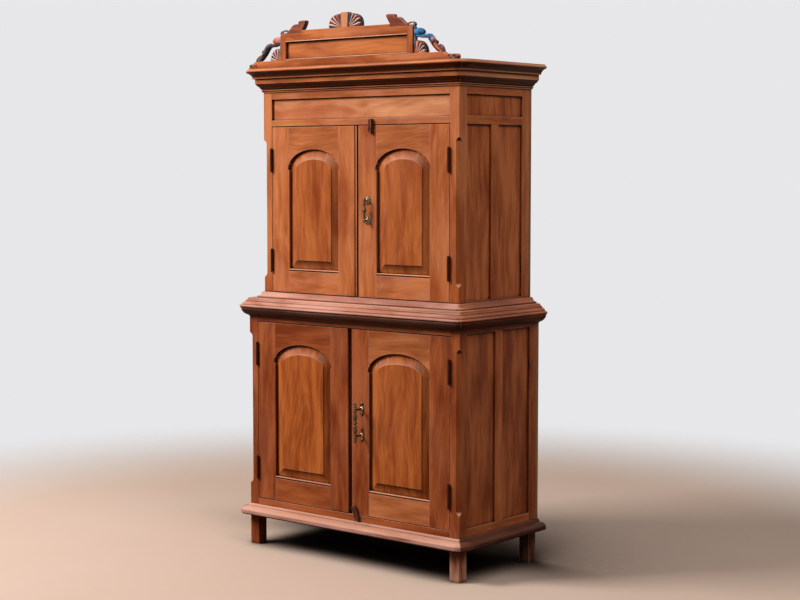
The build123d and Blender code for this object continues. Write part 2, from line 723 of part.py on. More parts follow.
with BuildPart() as crest_base_rail:
    with BuildSketch(facing_front(CREST_FACE)):
        with Locations((0, CREST_Z + CREST_RAIL_END / 2)):
            SlotCenterToCenter(2 * CREST_RAIL_HALF, CREST_RAIL_END)
        with BuildLine():
            shoulder = CREST_POST_OUT + BRACKET_REACH
            end, end_z = shoulder + CREST_RAIL_SLOPE, CREST_Z + CREST_RAIL_END
            right = [(shoulder, CREST_POST_Z), (end, end_z), (end, CREST_Z)]
            left = [(-x, z) for x, z in reversed(right)]
            Polyline(*[(x + CREST_X, z) for x, z in right + left], close=True)
        make_face()
    extrude(amount=-CREST_T)
save(crest_base_rail, "crest_base_rail")

with BuildPart() as crest_posts:
    for side in (-1, 1):
        x = span(side * CREST_POST_OUT, side * (CREST_POST_OUT - CREST_POST))
        block(x, (CREST_FACE, CREST_FACE + CREST_T), (CREST_POST_Z, EAR_SEAT_Z))
save(crest_posts, "crest_posts", CREST_X)

with BuildPart() as crest_top_rail:
    top_y = (CREST_FACE, CREST_FACE + CREST_T)
    inside = CREST_POST_OUT - CREST_POST
    block((-inside, inside), top_y, (CREST_TOP_Z, EAR_SEAT_Z))
    block((-CREST_EAR_IN, CREST_EAR_IN), top_y, (CREST_TOP_Z, CARVING_Z))
save(crest_top_rail, "crest_top_rail", CREST_X)

with BuildPart() as crest_panel:
    inside = CREST_POST_OUT - CREST_POST
    panel_y = (CREST_FACE + CREST_PANEL_SUNK, CREST_FACE + CREST_PANEL_SUNK + PANEL_T)
    block((-inside, inside), panel_y, (CREST_POST_Z, CREST_TOP_Z))
save(crest_panel, "crest_panel", CREST_X)

with BuildPart() as crest_ears:
    with BuildSketch(facing_front(CARVING_FACE)):
        with BuildLine():
            z, outer = CARVING_Z, CREST_POST_OUT - CREST_POST
            Polyline((outer, EAR_SEAT_Z + 1.5), (outer, EAR_SEAT_Z), (CREST_EAR_IN, EAR_SEAT_Z), (CREST_EAR_IN, z))
            Spline((CREST_EAR_IN, z), (214, z + 9), (204, z + 27))
            Polyline((204, z + 27), (203, z + 35), (238, z + 34.5), (240, z + 21))
            Spline((240, z + 21), (254, z + 23), (265, z + 21), (277, z + 10), (outer, EAR_SEAT_Z + 1.5))
        make_face()
    extrude(amount=-CARVING_T)
    mirror(about=Plane.YZ)
save(crest_ears, "crest_ears", CREST_X)


def shell_edge(x):
    """Height of the shell's ribbed part at a distance from its middle."""
    return SHELL_RIBS_H * (1 - (x / SHELL_HALF) ** SHELL_POWER) ** (1 / SHELL_POWER)


with BuildPart() as crest_shell:
    with BuildSketch(facing_front(CARVING_FACE)):
        with BuildLine():
            z = CARVING_Z
            rim = [(x, z + shell_edge(x)) for x in (SHELL_HALF, 79.0, 71.0, 57.0, 37.0, SHELL_BAND_HALF)]
            Spline(*rim)
            band = [rim[-1], (SHELL_BAND_HALF, z + SHELL_H)]
            Polyline(*band, *[(-x, height) for x, height in reversed(band)])
            Spline(*[(-x, height) for x, height in reversed(rim)])
            Line((-SHELL_HALF, z), (SHELL_HALF, z))
        make_face()
    extrude(amount=-CARVING_T)
save(crest_shell, "crest_shell", CREST_X + SHELL_X)

with BuildPart() as crest_fans:
    with BuildSketch(facing_front(CARVING_FACE)):
        with BuildLine():
            hub, z = CREST_POST_OUT + FAN_HUB, CREST_POST_Z
            EllipticalCenterArc((hub, z), FAN_W, FAN_H, arc_size=90)
            Polyline((hub, z + FAN_H), (CREST_POST_OUT, z + FAN_H), (CREST_POST_OUT, z), (hub + FAN_W, z))
        make_face()
    extrude(amount=-CARVING_T)
    mirror(about=Plane.YZ)
save(crest_fans, "crest_fans", CREST_X)

# An S-shaped scroll on each side, from a round head beside the post down to the base rail's end.
with BuildPart() as crest_brackets:
    with BuildSketch(facing_front(CARVING_FACE)):
        with BuildLine():
            x, z = CREST_POST_OUT, CREST_POST_Z
            head, notch, foot = (x + 50, z + 73), (x + 47, z + 66), (x + BRACKET_REACH, z)
            Line((x, z + 54), (x, z + 90))
            ThreePointArc((x, z + 90), (x + 38, z + 88), head)
            Line(head, notch)
            Spline(notch, (x + 70, z + 69), (x + 86, z + 63), (x + 97, z + 44), (x + 112, z + 25), foot)
            Line(foot, (x + 112, z))
            Spline((x + 112, z), (x + 88, z + 24), (x + 75, z + 42), (x + 62, z + 55), (x, z + 54))
        make_face()
    extrude(amount=-CARVING_T)
    mirror(about=Plane.YZ)
save(crest_brackets, "crest_brackets", CREST_X)
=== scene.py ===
"""Trastero: finishes for the joinery, a carved and painted crest, cast handles, and a plain stage."""
import math
from collections import namedtuple

import bmesh
import bpy
from bpy.props import FloatProperty, FloatVectorProperty, IntProperty, PointerProperty
from mathutils import Matrix, Vector


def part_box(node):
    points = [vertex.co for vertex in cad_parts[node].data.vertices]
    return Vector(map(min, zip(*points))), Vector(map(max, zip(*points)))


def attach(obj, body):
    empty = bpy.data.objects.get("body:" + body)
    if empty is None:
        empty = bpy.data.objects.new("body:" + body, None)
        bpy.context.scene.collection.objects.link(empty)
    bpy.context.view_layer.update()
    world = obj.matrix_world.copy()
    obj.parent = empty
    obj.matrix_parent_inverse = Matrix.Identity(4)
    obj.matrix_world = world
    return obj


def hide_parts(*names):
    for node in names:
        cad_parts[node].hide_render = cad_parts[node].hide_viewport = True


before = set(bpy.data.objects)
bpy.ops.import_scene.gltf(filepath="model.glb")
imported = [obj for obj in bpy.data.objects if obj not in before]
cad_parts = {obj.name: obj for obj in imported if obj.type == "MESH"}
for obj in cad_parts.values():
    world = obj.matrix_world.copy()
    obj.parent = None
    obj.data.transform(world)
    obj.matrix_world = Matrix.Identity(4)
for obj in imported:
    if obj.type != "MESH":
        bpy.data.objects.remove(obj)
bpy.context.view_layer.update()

bl_info = {
    "name": "Trastero Cabinet",
    "version": (1, 0, 0),
    "blender": (4, 5, 0),
    "location": "3D View > Sidebar > Trastero",
    "description": "Waxed pine, painted carving and aged metal for a two-stage trastero",
    "category": "Object",
}

MM = 0.001
UPPER_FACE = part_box("upper_handle_rosettes")[1].y
LOWER_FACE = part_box("lower_handle_rosettes")[1].y
POSTS_LOW, POSTS_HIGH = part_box("crest_posts")
CREST_FACE, POST_FOOT = POSTS_LOW.y, POSTS_LOW.z
CREST_MIDDLE, POST_OUT = (POSTS_LOW.x + POSTS_HIGH.x) / 2, (POSTS_HIGH.x - POSTS_LOW.x) / 2
CARVING_FRONT, CARVING_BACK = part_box("crest_shell")[0].y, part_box("crest_shell")[1].y
CARVING_PLANE = (CARVING_FRONT + CARVING_BACK) / 2
RIB_GROUND = CARVING_FRONT + 6 * MM


# ---------------------------------------------------------------- settings
def tone(red, green, blue):
    """Linear light for a display colour given from 0 to 255."""
    return tuple(((part / 255 + 0.055) / 1.055) ** 2.4 for part in (red, green, blue))


def swatch(name, about, *display):
    """A colour property with its default given as display values."""
    return FloatVectorProperty(name=name, description=about, default=tone(*display), size=3, min=0, max=1,
                               subtype="COLOR")


def amount(name, about, default, least=0, **kind):
    """A number with a smallest value."""
    return FloatProperty(name=name, description=about, default=default, min=least, **kind)


def share(name, about, default):
    """A number from 0 to 1."""
    return amount(name, about, default, max=1, subtype="FACTOR")


def length(name, about, default):
    """A size in metres."""
    return amount(name, about, default, unit="LENGTH", subtype="DISTANCE")


def number(name, about, default, least):
    """A whole number with a smallest value."""
    return IntProperty(name=name, description=about, default=default, min=least)


class PineSettings(bpy.types.PropertyGroup):
    """Colours and figure of the waxed pine, to which PINE_COLOURS adds its light and dark streaks."""
    blush: swatch("Blush", "Pinkish patches where the wax has thinned", 206, 126, 92)
    bare: swatch("Bare wood", "Wood that shows where edges are rubbed", 228, 176, 148)
    # The dirt-and-shade colour: real dirt and wax at the knots, and also the painted shade under mouldings,
    # in corners, on faces turned from the light and on the back legs under the case.
    soot: swatch("Soot", "Old wax and dirt in the corners", 50, 17, 4)
    ring_spacing: length("Ring spacing", "Distance between growth rings", 0.013)
    # Painted shade: downward faces of mouldings and rails are darkened towards the dirt-and-shade colour.
    underside: share("Underside", "How dark the undersides of mouldings and rails are", 0.84)
    scuffing: share("Scuffing", "How far the feet of the legs are scuffed", 0.56)
    edge_wear: share("Edge wear", "How far the edges are rubbed", 0.55)


# title, where the streaks are, the light ones' colour and the dark ones'
PINE_COLOURS = {
    "upper_frame": ("Upper frame", "upper posts, rails and stiles", (218, 131, 78), (170, 84, 42)),
    "lower_frame": ("Lower frame", "lower posts, rails and stiles", (190, 102, 56), (134, 58, 26)),
    "upper_panel": ("Upper panel", "upper door panels", (208, 118, 62), (154, 70, 30)),
    "lower_panel": ("Lower panel", "lower door panels", (214, 118, 56), (152, 66, 24)),
    "frieze": ("Frieze", "frieze", (236, 160, 112), (196, 112, 70)),
    # Painted sheen: the front mouldings' pale pink partly stands for the light on their upper members.
    "moulding": ("Moulding", "base and waist mouldings", (218, 160, 142), (138, 74, 56)),
    "cornice": ("Cornice", "cornice and crest", (222, 130, 72), (156, 74, 34)),
    "carving": ("Carving", "bare carving", (176, 94, 64), (124, 58, 42)),
    "side": ("Side", "upper end frames", (222, 128, 74), (158, 76, 38)),
    "low_side": ("Lower side", "lower end frames", (210, 118, 69), (144, 68, 36)),
    # Painted shade: the end mouldings are darker and browner than the front ones, partly for the shade on the
    # ends.
    "end_moulding": ("End moulding", "mouldings on the ends", (208, 106, 58), (128, 56, 26)),
    # Painted shade: the end foot mouldings are much darker, for the shadow in which the ends' base mouldings
    # stand.
    "foot": ("End foot moulding", "base mouldings on the ends", (104, 52, 34), (58, 28, 18)),
    "rail": ("Pale rail", "paler door rails", (222, 134, 82), (164, 86, 44)),
    # The bead colours are pale partly for rubbed wood and partly as a painted highlight of the light that the
    # recess beads catch.
    "bead": ("Bead", "rubbed beads", (244, 184, 146), (206, 138, 100)),
    "board": ("Plain board", "back, shelves and cleats", (176, 128, 88), (120, 78, 50)),
    "button": ("Button", "turn buttons", (116, 56, 32), (64, 28, 18)),
}
for key, (title, where, *streaks) in PINE_COLOURS.items():
    for shade, display in zip(("light", "dark"), streaks):
        about = f"{shade.capitalize()} streaks of the {where}"
        PineSettings.__annotations__[f"{key}_{shade}"] = swatch(f"{title}, {shade}", about, *display)


class PaintSettings(bpy.types.PropertyGroup):
    """Colours of the carved crest."""
    cream: swatch("Cream", "Pale ribs of the shell and fans", 238, 204, 184)
    oxide: swatch("Oxide red", "Red ribs of the shell and fans", 128, 36, 26)
    black: swatch("Black", "Dark ribs and undersides", 44, 32, 32)
    blue: swatch("Blue", "The right bracket and two ribs", 44, 124, 178)
    slate: swatch("Slate", "Grey-blue rims and ribs", 96, 98, 112)
    sage: swatch("Sage", "Grey-green scrolls and strips", 118, 132, 122)
    rose: swatch("Rose", "Pink curls and ribs", 198, 122, 112)
    plum: swatch("Plum", "Purple and maroon shading", 92, 44, 58)
    bottle: swatch("Bottle green", "Dark green rims", 48, 58, 44)
    amber: swatch("Amber", "Orange-brown heads and stems", 188, 94, 50)
    chipping: share("Chipping", "How far the paint has worn through to the wood", 0.3)


class MetalSettings(bpy.types.PropertyGroup):
    """Colours of the handles and hinges."""
    brass: swatch("Brass", "Body colour of the handles", 92, 68, 46)
    # Rubbed brass: the wear on high spots, and also a painted highlight on the beads' edges.
    brass_bright: swatch("Rubbed brass", "High spots of the handles", 214, 184, 146)
    verdigris: swatch("Verdigris", "Green film in the brass", 72, 66, 46)
    iron: swatch("Iron", "Body colour of the hinges", 82, 38, 20)
    iron_bright: swatch("Rubbed iron", "Edges of the hinges", 84, 50, 36)
    rust: swatch("Rust", "Brown film on the iron", 74, 36, 22)
    # Grime colour: dirt, and the painted shade in the hollows and between the beads.
    grime: swatch("Grime", "Dirt in the hollows", 22, 15, 10)


class CarvingSettings(bpy.types.PropertyGroup):
    """Sizes of the crest's carving."""
    shell_ribs: number("Shell ribs", "Ribs in each half of the shell", 11, 3)
    shell_ribs_height: share("Shell ribs' height", "Height of the ribbed halves over the band's", 0.93)
    shell_roundness: amount("Shell roundness", "Squareness of the shell, where 2 is an ellipse", 3.0, 1.5,
                            max=8)
    shell_band: length("Shell band", "Width of the plain band in the middle of the shell", 0.0346)
    fan_hub: length("Fan hub", "Distance from the post to the hub of a fan", 0.018)
    fan_ribs: number("Fan ribs", "Ribs in each quarter fan", 8, 3)
    rib_rise: length("Rib rise", "How far the ribs stand over their ground", 0.0065)
    rim: length("Rim", "Width of the ground left outside the ribs", 0.004)


class HandleSettings(bpy.types.PropertyGroup):
    """Sizes of the cast handles."""
    petals: number("Petals", "Petals of a round rosette", 8, 4)
    petal_ring: length("Petal ring", "Distance of the petals from the rosette's middle", 0.0103)
    petal_size: length("Petal size", "Half length of a petal", 0.0048)


class StageSettings(bpy.types.PropertyGroup):
    """Floor, lamps and background."""
    floor: swatch("Floor", "Colour of the floor", 208, 179, 160)
    floor_bounce: swatch("Floor bounce", "Colour that the floor throws back on the cabinet", 72, 56, 44)
    # Painted shadow: the colour the floor takes under and behind the cabinet.
    floor_shadow: swatch("Floor shadow", "Colour of the dusty floor under the cabinet", 16, 8, 5)
    backdrop: swatch("Backdrop", "Colour behind the cabinet", 231, 231, 233)
    fill: amount("Fill", "Strength of the light from overhead", 0.42)
    horizon: share("Horizon", "Part of the overhead light that comes from the horizon", 0.12)
    key_power: amount("Key power", "Power of the large lamp", 300, unit="POWER")
    key_size: length("Key size", "Side of the large lamp", 2.0)
    side_power: amount("Side power", "Power of the lamp on the right", 70, unit="POWER")
    side_size: length("Side size", "Side of the lamp on the right", 2.4)
    focal_length: amount("Focal length", "Lens of the camera, in millimetres", 76.42, 1,
                         subtype="DISTANCE_CAMERA")


SETTINGS = {
    "trastero_pine": PineSettings,
    "trastero_paint": PaintSettings,
    "trastero_metal": MetalSettings,
    "trastero_carving": CarvingSettings,
    "trastero_handles": HandleSettings,
    "trastero_stage": StageSettings,
}


# ---------------------------------------------------------------- shader trees
class Tree:
    """Adds and joins nodes in one node tree."""

    def __init__(self, tree):
        self.tree = tree

    def feed(self, socket, value):
        """Link an output to the socket, or set a constant on it."""
        if isinstance(value, bpy.types.NodeSocket):
            self.tree.links.new(value, socket)
        elif socket.type == "RGBA" and len(value) == 3:
            socket.default_value = (*value, 1)
        else:
            socket.default_value = value

    def node(self, kind, settings=None, **inputs):
        """Add a node; an underscore in an input's name stands for a space."""
        made = self.tree.nodes.new(kind)
        for name, value in (settings or {}).items():
            setattr(made, name, value)
        for name, value in inputs.items():
            self.feed(made.inputs[name.replace("_", " ")], value)
        return made

    def group(self, name, **inputs):
        """Add a shader group."""
        return self.node("ShaderNodeGroup", {"node_tree": shader_group(name)}, **inputs)

    def at(self, output):
        """One output of the texture coordinates."""
        return self.node("ShaderNodeTexCoord").outputs[output]

    def parts(self, vector):
        """The X, Y and Z of a vector."""
        return self.node("ShaderNodeSeparateXYZ", None, Vector=vector).outputs

    def math(self, operation, *values):
        """A Math node's result."""
        made = self.node("ShaderNodeMath", {"operation": operation})
        for socket, value in zip(made.inputs, values):
            self.feed(socket, value)
        return made.outputs[0]

    def plus(self, total, *others):
        """The sum of the values."""
        for other in others:
            total = self.math("ADD", total, other)
        return total

    def times(self, total, *others):
        """The product of the values."""
        for other in others:
            total = self.math("MULTIPLY", total, other)
        return total

    def vector(self, operation, *values):
        """A Vector Math node's vector, or its number where it gives one."""
        made = self.node("ShaderNodeVectorMath", {"operation": operation})
        for socket, value in zip(made.inputs, values):
            self.feed(socket, value)
        return made.outputs["Value" if operation == "LENGTH" else "Vector"]

    def mix(self, factor, a, b, blend="MIX"):
        """A blend of two colours."""
        made = self.node("ShaderNodeMix", {"data_type": "RGBA", "blend_type": blend})
        for index, value in ((0, factor), (6, a), (7, b)):
            self.feed(made.inputs[index], value)
        return made.outputs[2]

    def layered(self, colour, *layers):
        """The colour under layers of (mask, colour), the last one on top."""
        for mask, over in layers:
            colour = self.mix(mask, colour, over)
        return colour

    def ease(self, value, low, high, start=0.0, end=1.0):
        """A smooth step from low to high."""
        made = self.node("ShaderNodeMapRange", {"interpolation_type": "SMOOTHSTEP"}, Value=value,
                         From_Min=low, From_Max=high, To_Min=start, To_Max=end)
        return made.outputs["Result"]

    def noise(self, vector, scale, detail=2.0, roughness=0.5, output="Fac"):
        """Noise from 0 to 1."""
        made = self.node("ShaderNodeTexNoise", None, Vector=vector, Scale=scale, Detail=detail,
                         Roughness=roughness)
        return made.outputs[output]

    def drawn(self, vector, across, along):
        """The vector with its pattern drawn out along Z."""
        return self.vector("MULTIPLY", vector, (across, across, along))

    def openness(self, distance, samples, **settings):
        """The share of open space within a distance."""
        made = self.node("ShaderNodeAmbientOcclusion", {"samples": samples, **settings}, Distance=distance)
        return made.outputs["AO"]

    def seen(self):
        """1 where it is seen directly, in a reflection or through glass, and 0 where it only throws light."""
        path = self.node("ShaderNodeLightPath").outputs
        shown = self.math("MAXIMUM", path["Is Camera Ray"], path["Is Glossy Ray"])
        return self.math("MAXIMUM", shown, path["Is Transmission Ray"])

    def either(self, mask, first, second):
        """The first shader where the mask is 0 and the second where it is 1."""
        made = self.node("ShaderNodeMixShader", None, Fac=mask)
        for index, shader in ((1, first), (2, second)):
            self.feed(made.inputs[index], shader.outputs[0])
        return made.outputs["Shader"]


def new_group(name, colours, numbers, outputs=("Color", "Roughness", "Height")):
    """An empty shader group with a Vector and the named inputs: (tree, its inputs by name)."""
    group = bpy.data.node_groups.new(name, "ShaderNodeTree")
    sockets = [("Vector", "INPUT", "Vector")] + [(socket, "INPUT", "Color") for socket in colours]
    sockets += [(socket, "INPUT", "Float") for socket in numbers]
    sockets += [(socket, "OUTPUT", "Color" if socket == "Color" else "Float") for socket in outputs]
    for socket, direction, kind in sockets:
        group.interface.new_socket(name=socket, in_out=direction, socket_type=f"NodeSocket{kind}")
    tree = Tree(group)
    return tree, tree.node("NodeGroupInput").outputs


def worn_edges_group():
    """Masks for rubbed outer edges and for the corners, where dirt and painted shade go."""
    tree, given = new_group("worn_edges", (), ("Edge Width", "Corner Width"), ("Edge", "Corner"))
    inner = tree.openness(given["Edge Width"], 8, inside=True, only_local=True)
    outer = tree.openness(given["Corner Width"], 8)
    ragged = tree.times(tree.math("SUBTRACT", tree.noise(given["Vector"], 38.0, 5.0, 0.65), 0.5), 0.5)
    edge = tree.plus(tree.math("SUBTRACT", 1.0, inner), ragged)
    corner = tree.plus(tree.math("SUBTRACT", 1.0, outer), tree.times(ragged, 0.3))
    tree.node("NodeGroupOutput", None, Edge=tree.ease(edge, 0.16, 0.5), Corner=tree.ease(corner, 0.1, 0.66))


def waxed_pine_group():
    """Pine with its grain along Z of the vector: streaks, rings, fibres, knots, blush, dirt and wear, with
    painted shade on undersides, corners and faces turned from the light, and painted sheen on upper faces.
    """
    tree, given = new_group(
        "waxed_pine", ("Light", "Dark", "Blush", "Bare", "Soot"),
        ("Ring Spacing", "Ring Depth", "Taper", "Edge Wear", "Blush Amount", "Knots", "Fading", "Underside",
         "Lee", "Scuff"))
    place, soot, bare = given["Vector"], given["Soot"], given["Bare"]
    drift = tree.noise(tree.drawn(place, 3.4, 2.4), 1.0, 2.0, 0.5, "Color")
    drift = tree.node("ShaderNodeVectorMath", {"operation": "SCALE"}, Scale=0.09,
                      Vector=tree.vector("SUBTRACT", drift, (0.5, 0.5, 0.5)))
    bent = tree.vector("ADD", place, drift.outputs["Vector"])
    cells = tree.node("ShaderNodeTexVoronoi", None, Vector=tree.drawn(place, 4.4, 2.2), Scale=1.0)
    near = cells.outputs["Distance"]
    radius = tree.plus(tree.vector("LENGTH", tree.vector("MULTIPLY", bent, (1, 1, 0))),
                       tree.times(tree.parts(bent)["Z"], given["Taper"]),
                       tree.times(tree.ease(near, 0.34, 0.0), 0.014))
    turn = tree.math("FRACT", tree.math("DIVIDE", radius, given["Ring Spacing"]))
    ring = tree.times(tree.ease(turn, 0.1, 0.75), tree.ease(turn, 1.0, 0.78))
    broad = tree.noise(tree.drawn(bent, 8.0, 2.0), 1.0, 3.0, 0.55)
    streak = tree.noise(tree.drawn(bent, 34.0, 4.2), 1.0, 3.0, 0.55)
    fibre = tree.noise(tree.drawn(place, 430.0, 9.0), 1.0, 2.0, 0.6)
    cloud = tree.noise(tree.drawn(place, 7.5, 3.4), 1.0, 4.0, 0.6)
    figure = tree.ease(tree.plus(tree.times(broad, 0.55), tree.times(streak, 0.45)), 0.36, 0.64)
    streaks = tree.mix(figure, given["Dark"], given["Light"])
    late = tree.mix(1.0, streaks, (0.6, 0.47, 0.38), "MULTIPLY")
    facing = tree.parts(tree.at("Normal"))
    worn = tree.group("worn_edges", Vector=place, Edge_Width=0.003, Corner_Width=0.022).outputs
    edge = tree.times(worn["Edge"], given["Edge Wear"])
    # Painted shade: faces turned downwards are mixed towards the dirt-and-shade colour.
    under = tree.times(tree.ease(facing["Z"], 0.0, -0.4), given["Underside"])
    # Painted shade on faces turned towards +X, away from the key lamp, such as the panels' right bevels.
    under = tree.math("MAXIMUM", under, tree.times(tree.ease(facing["X"], 0.03, 0.14), given["Lee"]))
    colour = tree.layered(
        streaks,
        (tree.times(ring, given["Ring Depth"]), late),
        (tree.ease(fibre, 0.35, 0.65, 0.3, 0.0), late),
        (tree.times(tree.ease(cloud, 0.46, 0.68), given["Blush Amount"]), given["Blush"]),
        # Painted sheen: faces turned upwards are lightened towards a pale pink.
        (tree.times(tree.ease(facing["Z"], 0.04, 0.5), given["Fading"]),
         tree.mix(0.75, given["Blush"], bare)),
        (tree.times(tree.ease(streak, 0.28, 0.62), given["Scuff"]), bare),
        (tree.times(tree.ease(near, 0.1, 0.03), 0.55), late),
        (tree.times(tree.ease(near, 0.045, 0.02), given["Knots"]), soot),
        # dirt and painted shade in the corners, painted shade on undersides and turned faces, then rubbed
        # edges
        (tree.math("MAXIMUM", under, tree.times(worn["Corner"], 0.9)), soot), (edge, bare))
    rough = tree.plus(tree.ease(cloud, 0.3, 0.7, 0.36, 0.5), tree.times(edge, 0.15), tree.times(ring, 0.06))
    tree.node("NodeGroupOutput", None, Color=colour, Roughness=rough,
              Height=tree.plus(tree.times(fibre, 0.5), tree.times(ring, 0.4)))


def chipped_paint_group():
    """Paint over carved wood, chipped along the edges, with dirt and painted shade in the hollows."""
    tree, given = new_group("chipped_paint", ("Paint", "Wood", "Soot"), ("Chipping",))
    place = given["Vector"]
    worn = tree.group("worn_edges", Vector=place, Edge_Width=0.0016, Corner_Width=0.006).outputs
    tint, flake = tree.noise(place, 60.0, 3.0, 0.6), tree.noise(place, 150.0, 4.0, 0.7)
    loss = tree.plus(tree.times(flake, 0.9), tree.times(worn["Edge"], 0.35),
                     tree.times(given["Chipping"], 0.4))
    loss = tree.times(tree.ease(loss, 0.72, 0.8), 0.8)
    dull = tree.mix(1.0, given["Paint"], (0.55, 0.5, 0.5), "MULTIPLY")
    colour = tree.layered(given["Paint"], (tree.ease(tint, 0.3, 0.7, 0.35, 0.0), dull), (loss, given["Wood"]),
                          (tree.times(worn["Corner"], 0.4), given["Soot"]))
    tree.node("NodeGroupOutput", None, Color=colour, Roughness=tree.ease(tint, 0.2, 0.8, 0.5, 0.68),
              Height=tree.math("SUBTRACT", tree.times(flake, 0.4), loss))


def cast_metal_group():
    """Aged metal: a film in patches, rubbed high spots that also serve as painted highlights, and dirt with
    painted shade in the hollows.
    """
    tree, given = new_group("cast_metal", ("Metal", "Bright", "Film", "Grime"), ("Rubbed",))
    place = given["Vector"]
    worn = tree.group("worn_edges", Vector=place, Edge_Width=0.0014, Corner_Width=0.008).outputs
    patch = tree.noise(place, 120.0, 3.0, 0.6)
    edge = tree.times(worn["Edge"], given["Rubbed"])
    colour = tree.layered(given["Metal"], (tree.ease(patch, 0.42, 0.62), given["Film"]),
                          (edge, given["Bright"]), (tree.times(worn["Corner"], 0.85), given["Grime"]))
    rough = tree.math("SUBTRACT", tree.ease(patch, 0.3, 0.7, 0.3, 0.42), tree.times(edge, 0.1))
    tree.node("NodeGroupOutput", None, Color=colour, Roughness=rough,
              Height=tree.noise(place, 900.0, 2.0, 0.5))


GROUPS = (worn_edges_group, waxed_pine_group, chipped_paint_group, cast_metal_group)


def shader_group(name):
    """A shader group by name; it is built at its first use."""
    if name not in bpy.data.node_groups:
        next(build for build in GROUPS if build.__name__ == f"{name}_group")()
    return bpy.data.node_groups[name]


def start_material(name, turn=(0, 0, 0), shift=(0, 0, 0)):
    """A material with its object coordinates turned and shifted: (material, tree, vector)."""
    made = bpy.data.materials.new(name)
    made.use_nodes = True
    made.node_tree.nodes.clear()
    tree = Tree(made.node_tree)
    mapping = tree.node("ShaderNodeMapping", None, Vector=tree.at("Object"), Rotation=turn, Location=shift)
    return made, tree, mapping.outputs["Vector"]


def close_material(tree, group, bump, depth, **constants):
    """Feed a Principled shader from a group that gives Color, Roughness and Height."""
    relief = tree.node("ShaderNodeBump", None, Strength=bump, Distance=depth, Height=group.outputs["Height"])
    skin = tree.node("ShaderNodeBsdfPrincipled", None, Base_Color=group.outputs["Color"],
                     Roughness=group.outputs["Roughness"], Normal=relief.outputs["Normal"], **constants)
    tree.node("ShaderNodeOutputMaterial", None, Surface=skin.outputs["BSDF"])


GRAIN_TURN = {"X": (0, math.pi / 2, 0), "Y": (math.pi / 2, 0, 0), "Z": (0, 0, 0)}
# its colours, the pith's distance from the piece's middle, the rings' taper and depth, blush, edge wear, the
# painted sheen on upper faces, knots, and the painted shade on the faces turned from the light
Finish = namedtuple("Finish", "colours pith taper depth blush wear fading knots lee", defaults=(0.0, 0.0))
PINE_FINISHES = {
    "upper_frame": Finish("upper_frame", (0.19, 0.13), 0.03, 0.12, 0.35, 0.6, 0.6, 1.0),
    "upper_rail": Finish("rail", (0.19, 0.13), 0.03, 0.12, 0.8, 0.6, 0.6),
    "lower_frame": Finish("lower_frame", (0.17, 0.15), 0.03, 0.12, 0.15, 0.6, 0.6, 1.0),
    "pale_rail": Finish("rail", (0.17, 0.15), 0.03, 0.12, 0.25, 0.6, 0.6),
    "upper_panel": Finish("upper_panel", (0.0, 0.05), 0.09, 0.16, 0.12, 0.7, 0.7, lee=0.4),
    "lower_panel": Finish("lower_panel", (0.0, 0.045), 0.1, 0.34, 0.1, 0.7, 0.7, lee=0.45),
    "frieze": Finish("frieze", (0.02, 0.05), 0.05, 0.22, 0.25, 0.5, 0.3),
    "moulding": Finish("moulding", (0.3, 0.2), 0.03, 0.14, 0.25, 0.95, 0.2),
    "base_moulding": Finish("moulding", (0.3, 0.2), 0.03, 0.14, 0.2, 0.95, 0.55),
    "end_moulding": Finish("end_moulding", (0.3, 0.2), 0.03, 0.14, 0.2, 0.7, 0.25),
    "end_foot": Finish("foot", (0.3, 0.2), 0.03, 0.14, 0.1, 0.6, 0.05),
    "cornice": Finish("cornice", (0.24, 0.2), 0.03, 0.14, 0.1, 0.5, 0.2),
    "end_cornice": Finish("frieze", (0.24, 0.2), 0.03, 0.14, 0.1, 0.5, 0.25),
    "crest": Finish("cornice", (0.2, 0.17), 0.04, 0.2, 0.35, 0.7, 0.4),
    "bead": Finish("bead", (0.2, 0.17), 0.03, 0.1, 0.1, 0.7, 0.4),
    "carving": Finish("carving", (0.04, 0.05), 0.04, 0.3, 0.3, 0.6, 0.3),
    "end_frame": Finish("side", (0.17, 0.21), 0.03, 0.14, 0.25, 0.5, 0.3),
    "end_panel": Finish("side", (0.035, 0.0), 0.06, 0.34, 0.15, 0.4, 0.2),
    "low_end_frame": Finish("low_side", (0.17, 0.21), 0.03, 0.14, 0.15, 0.5, 0.3),
    "low_end_panel": Finish("low_side", (0.035, 0.0), 0.06, 0.34, 0.12, 0.4, 0.2),
    "plain": Finish("board", (0.06, 0.045), 0.05, 0.3, 0.1, 0.2, 0.1, 1.0),
    "button": Finish("button", (0.02, 0.01), 0.03, 0.3, 0.1, 0.5, 0.1),
}
WEAR_STRENGTH = 1.6
GRAIN_STEP = 0.37


def pine(name, finish, grain, centre):
    """Waxed pine for one piece, its grain along the given axis and its pith near the piece's middle."""
    look, kind = bpy.context.scene.trastero_pine, PINE_FINISHES[finish]
    turn = Matrix.Rotation(GRAIN_TURN[grain][0], 3, "X") @ Matrix.Rotation(GRAIN_TURN[grain][1], 3, "Y")
    middle = turn @ Vector(centre)
    shift = (kind.pith[0] - middle.x, -kind.pith[1] - middle.y, len(name) * GRAIN_STEP)
    light, dark = (getattr(look, f"{kind.colours}_{shade}")[:] for shade in ("light", "dark"))
    made, tree, place = start_material(name, GRAIN_TURN[grain], shift)
    group = tree.group("waxed_pine", Vector=place, Light=light, Dark=dark, Blush=look.blush[:],
                       Bare=look.bare[:], Soot=look.soot[:], Ring_Spacing=look.ring_spacing,
                       Ring_Depth=kind.depth, Taper=kind.taper,
                       Edge_Wear=kind.wear * look.edge_wear * WEAR_STRENGTH, Blush_Amount=kind.blush,
                       Knots=kind.knots, Fading=kind.fading, Underside=look.underside, Lee=kind.lee)
    if name == "pine_lower_posts":
        wear_legs(tree, group, look)
    close_material(tree, group, 0.12, 0.0006, Coat_Weight=0.05, Coat_Roughness=0.24, Specular_IOR_Level=0.03)
    return made


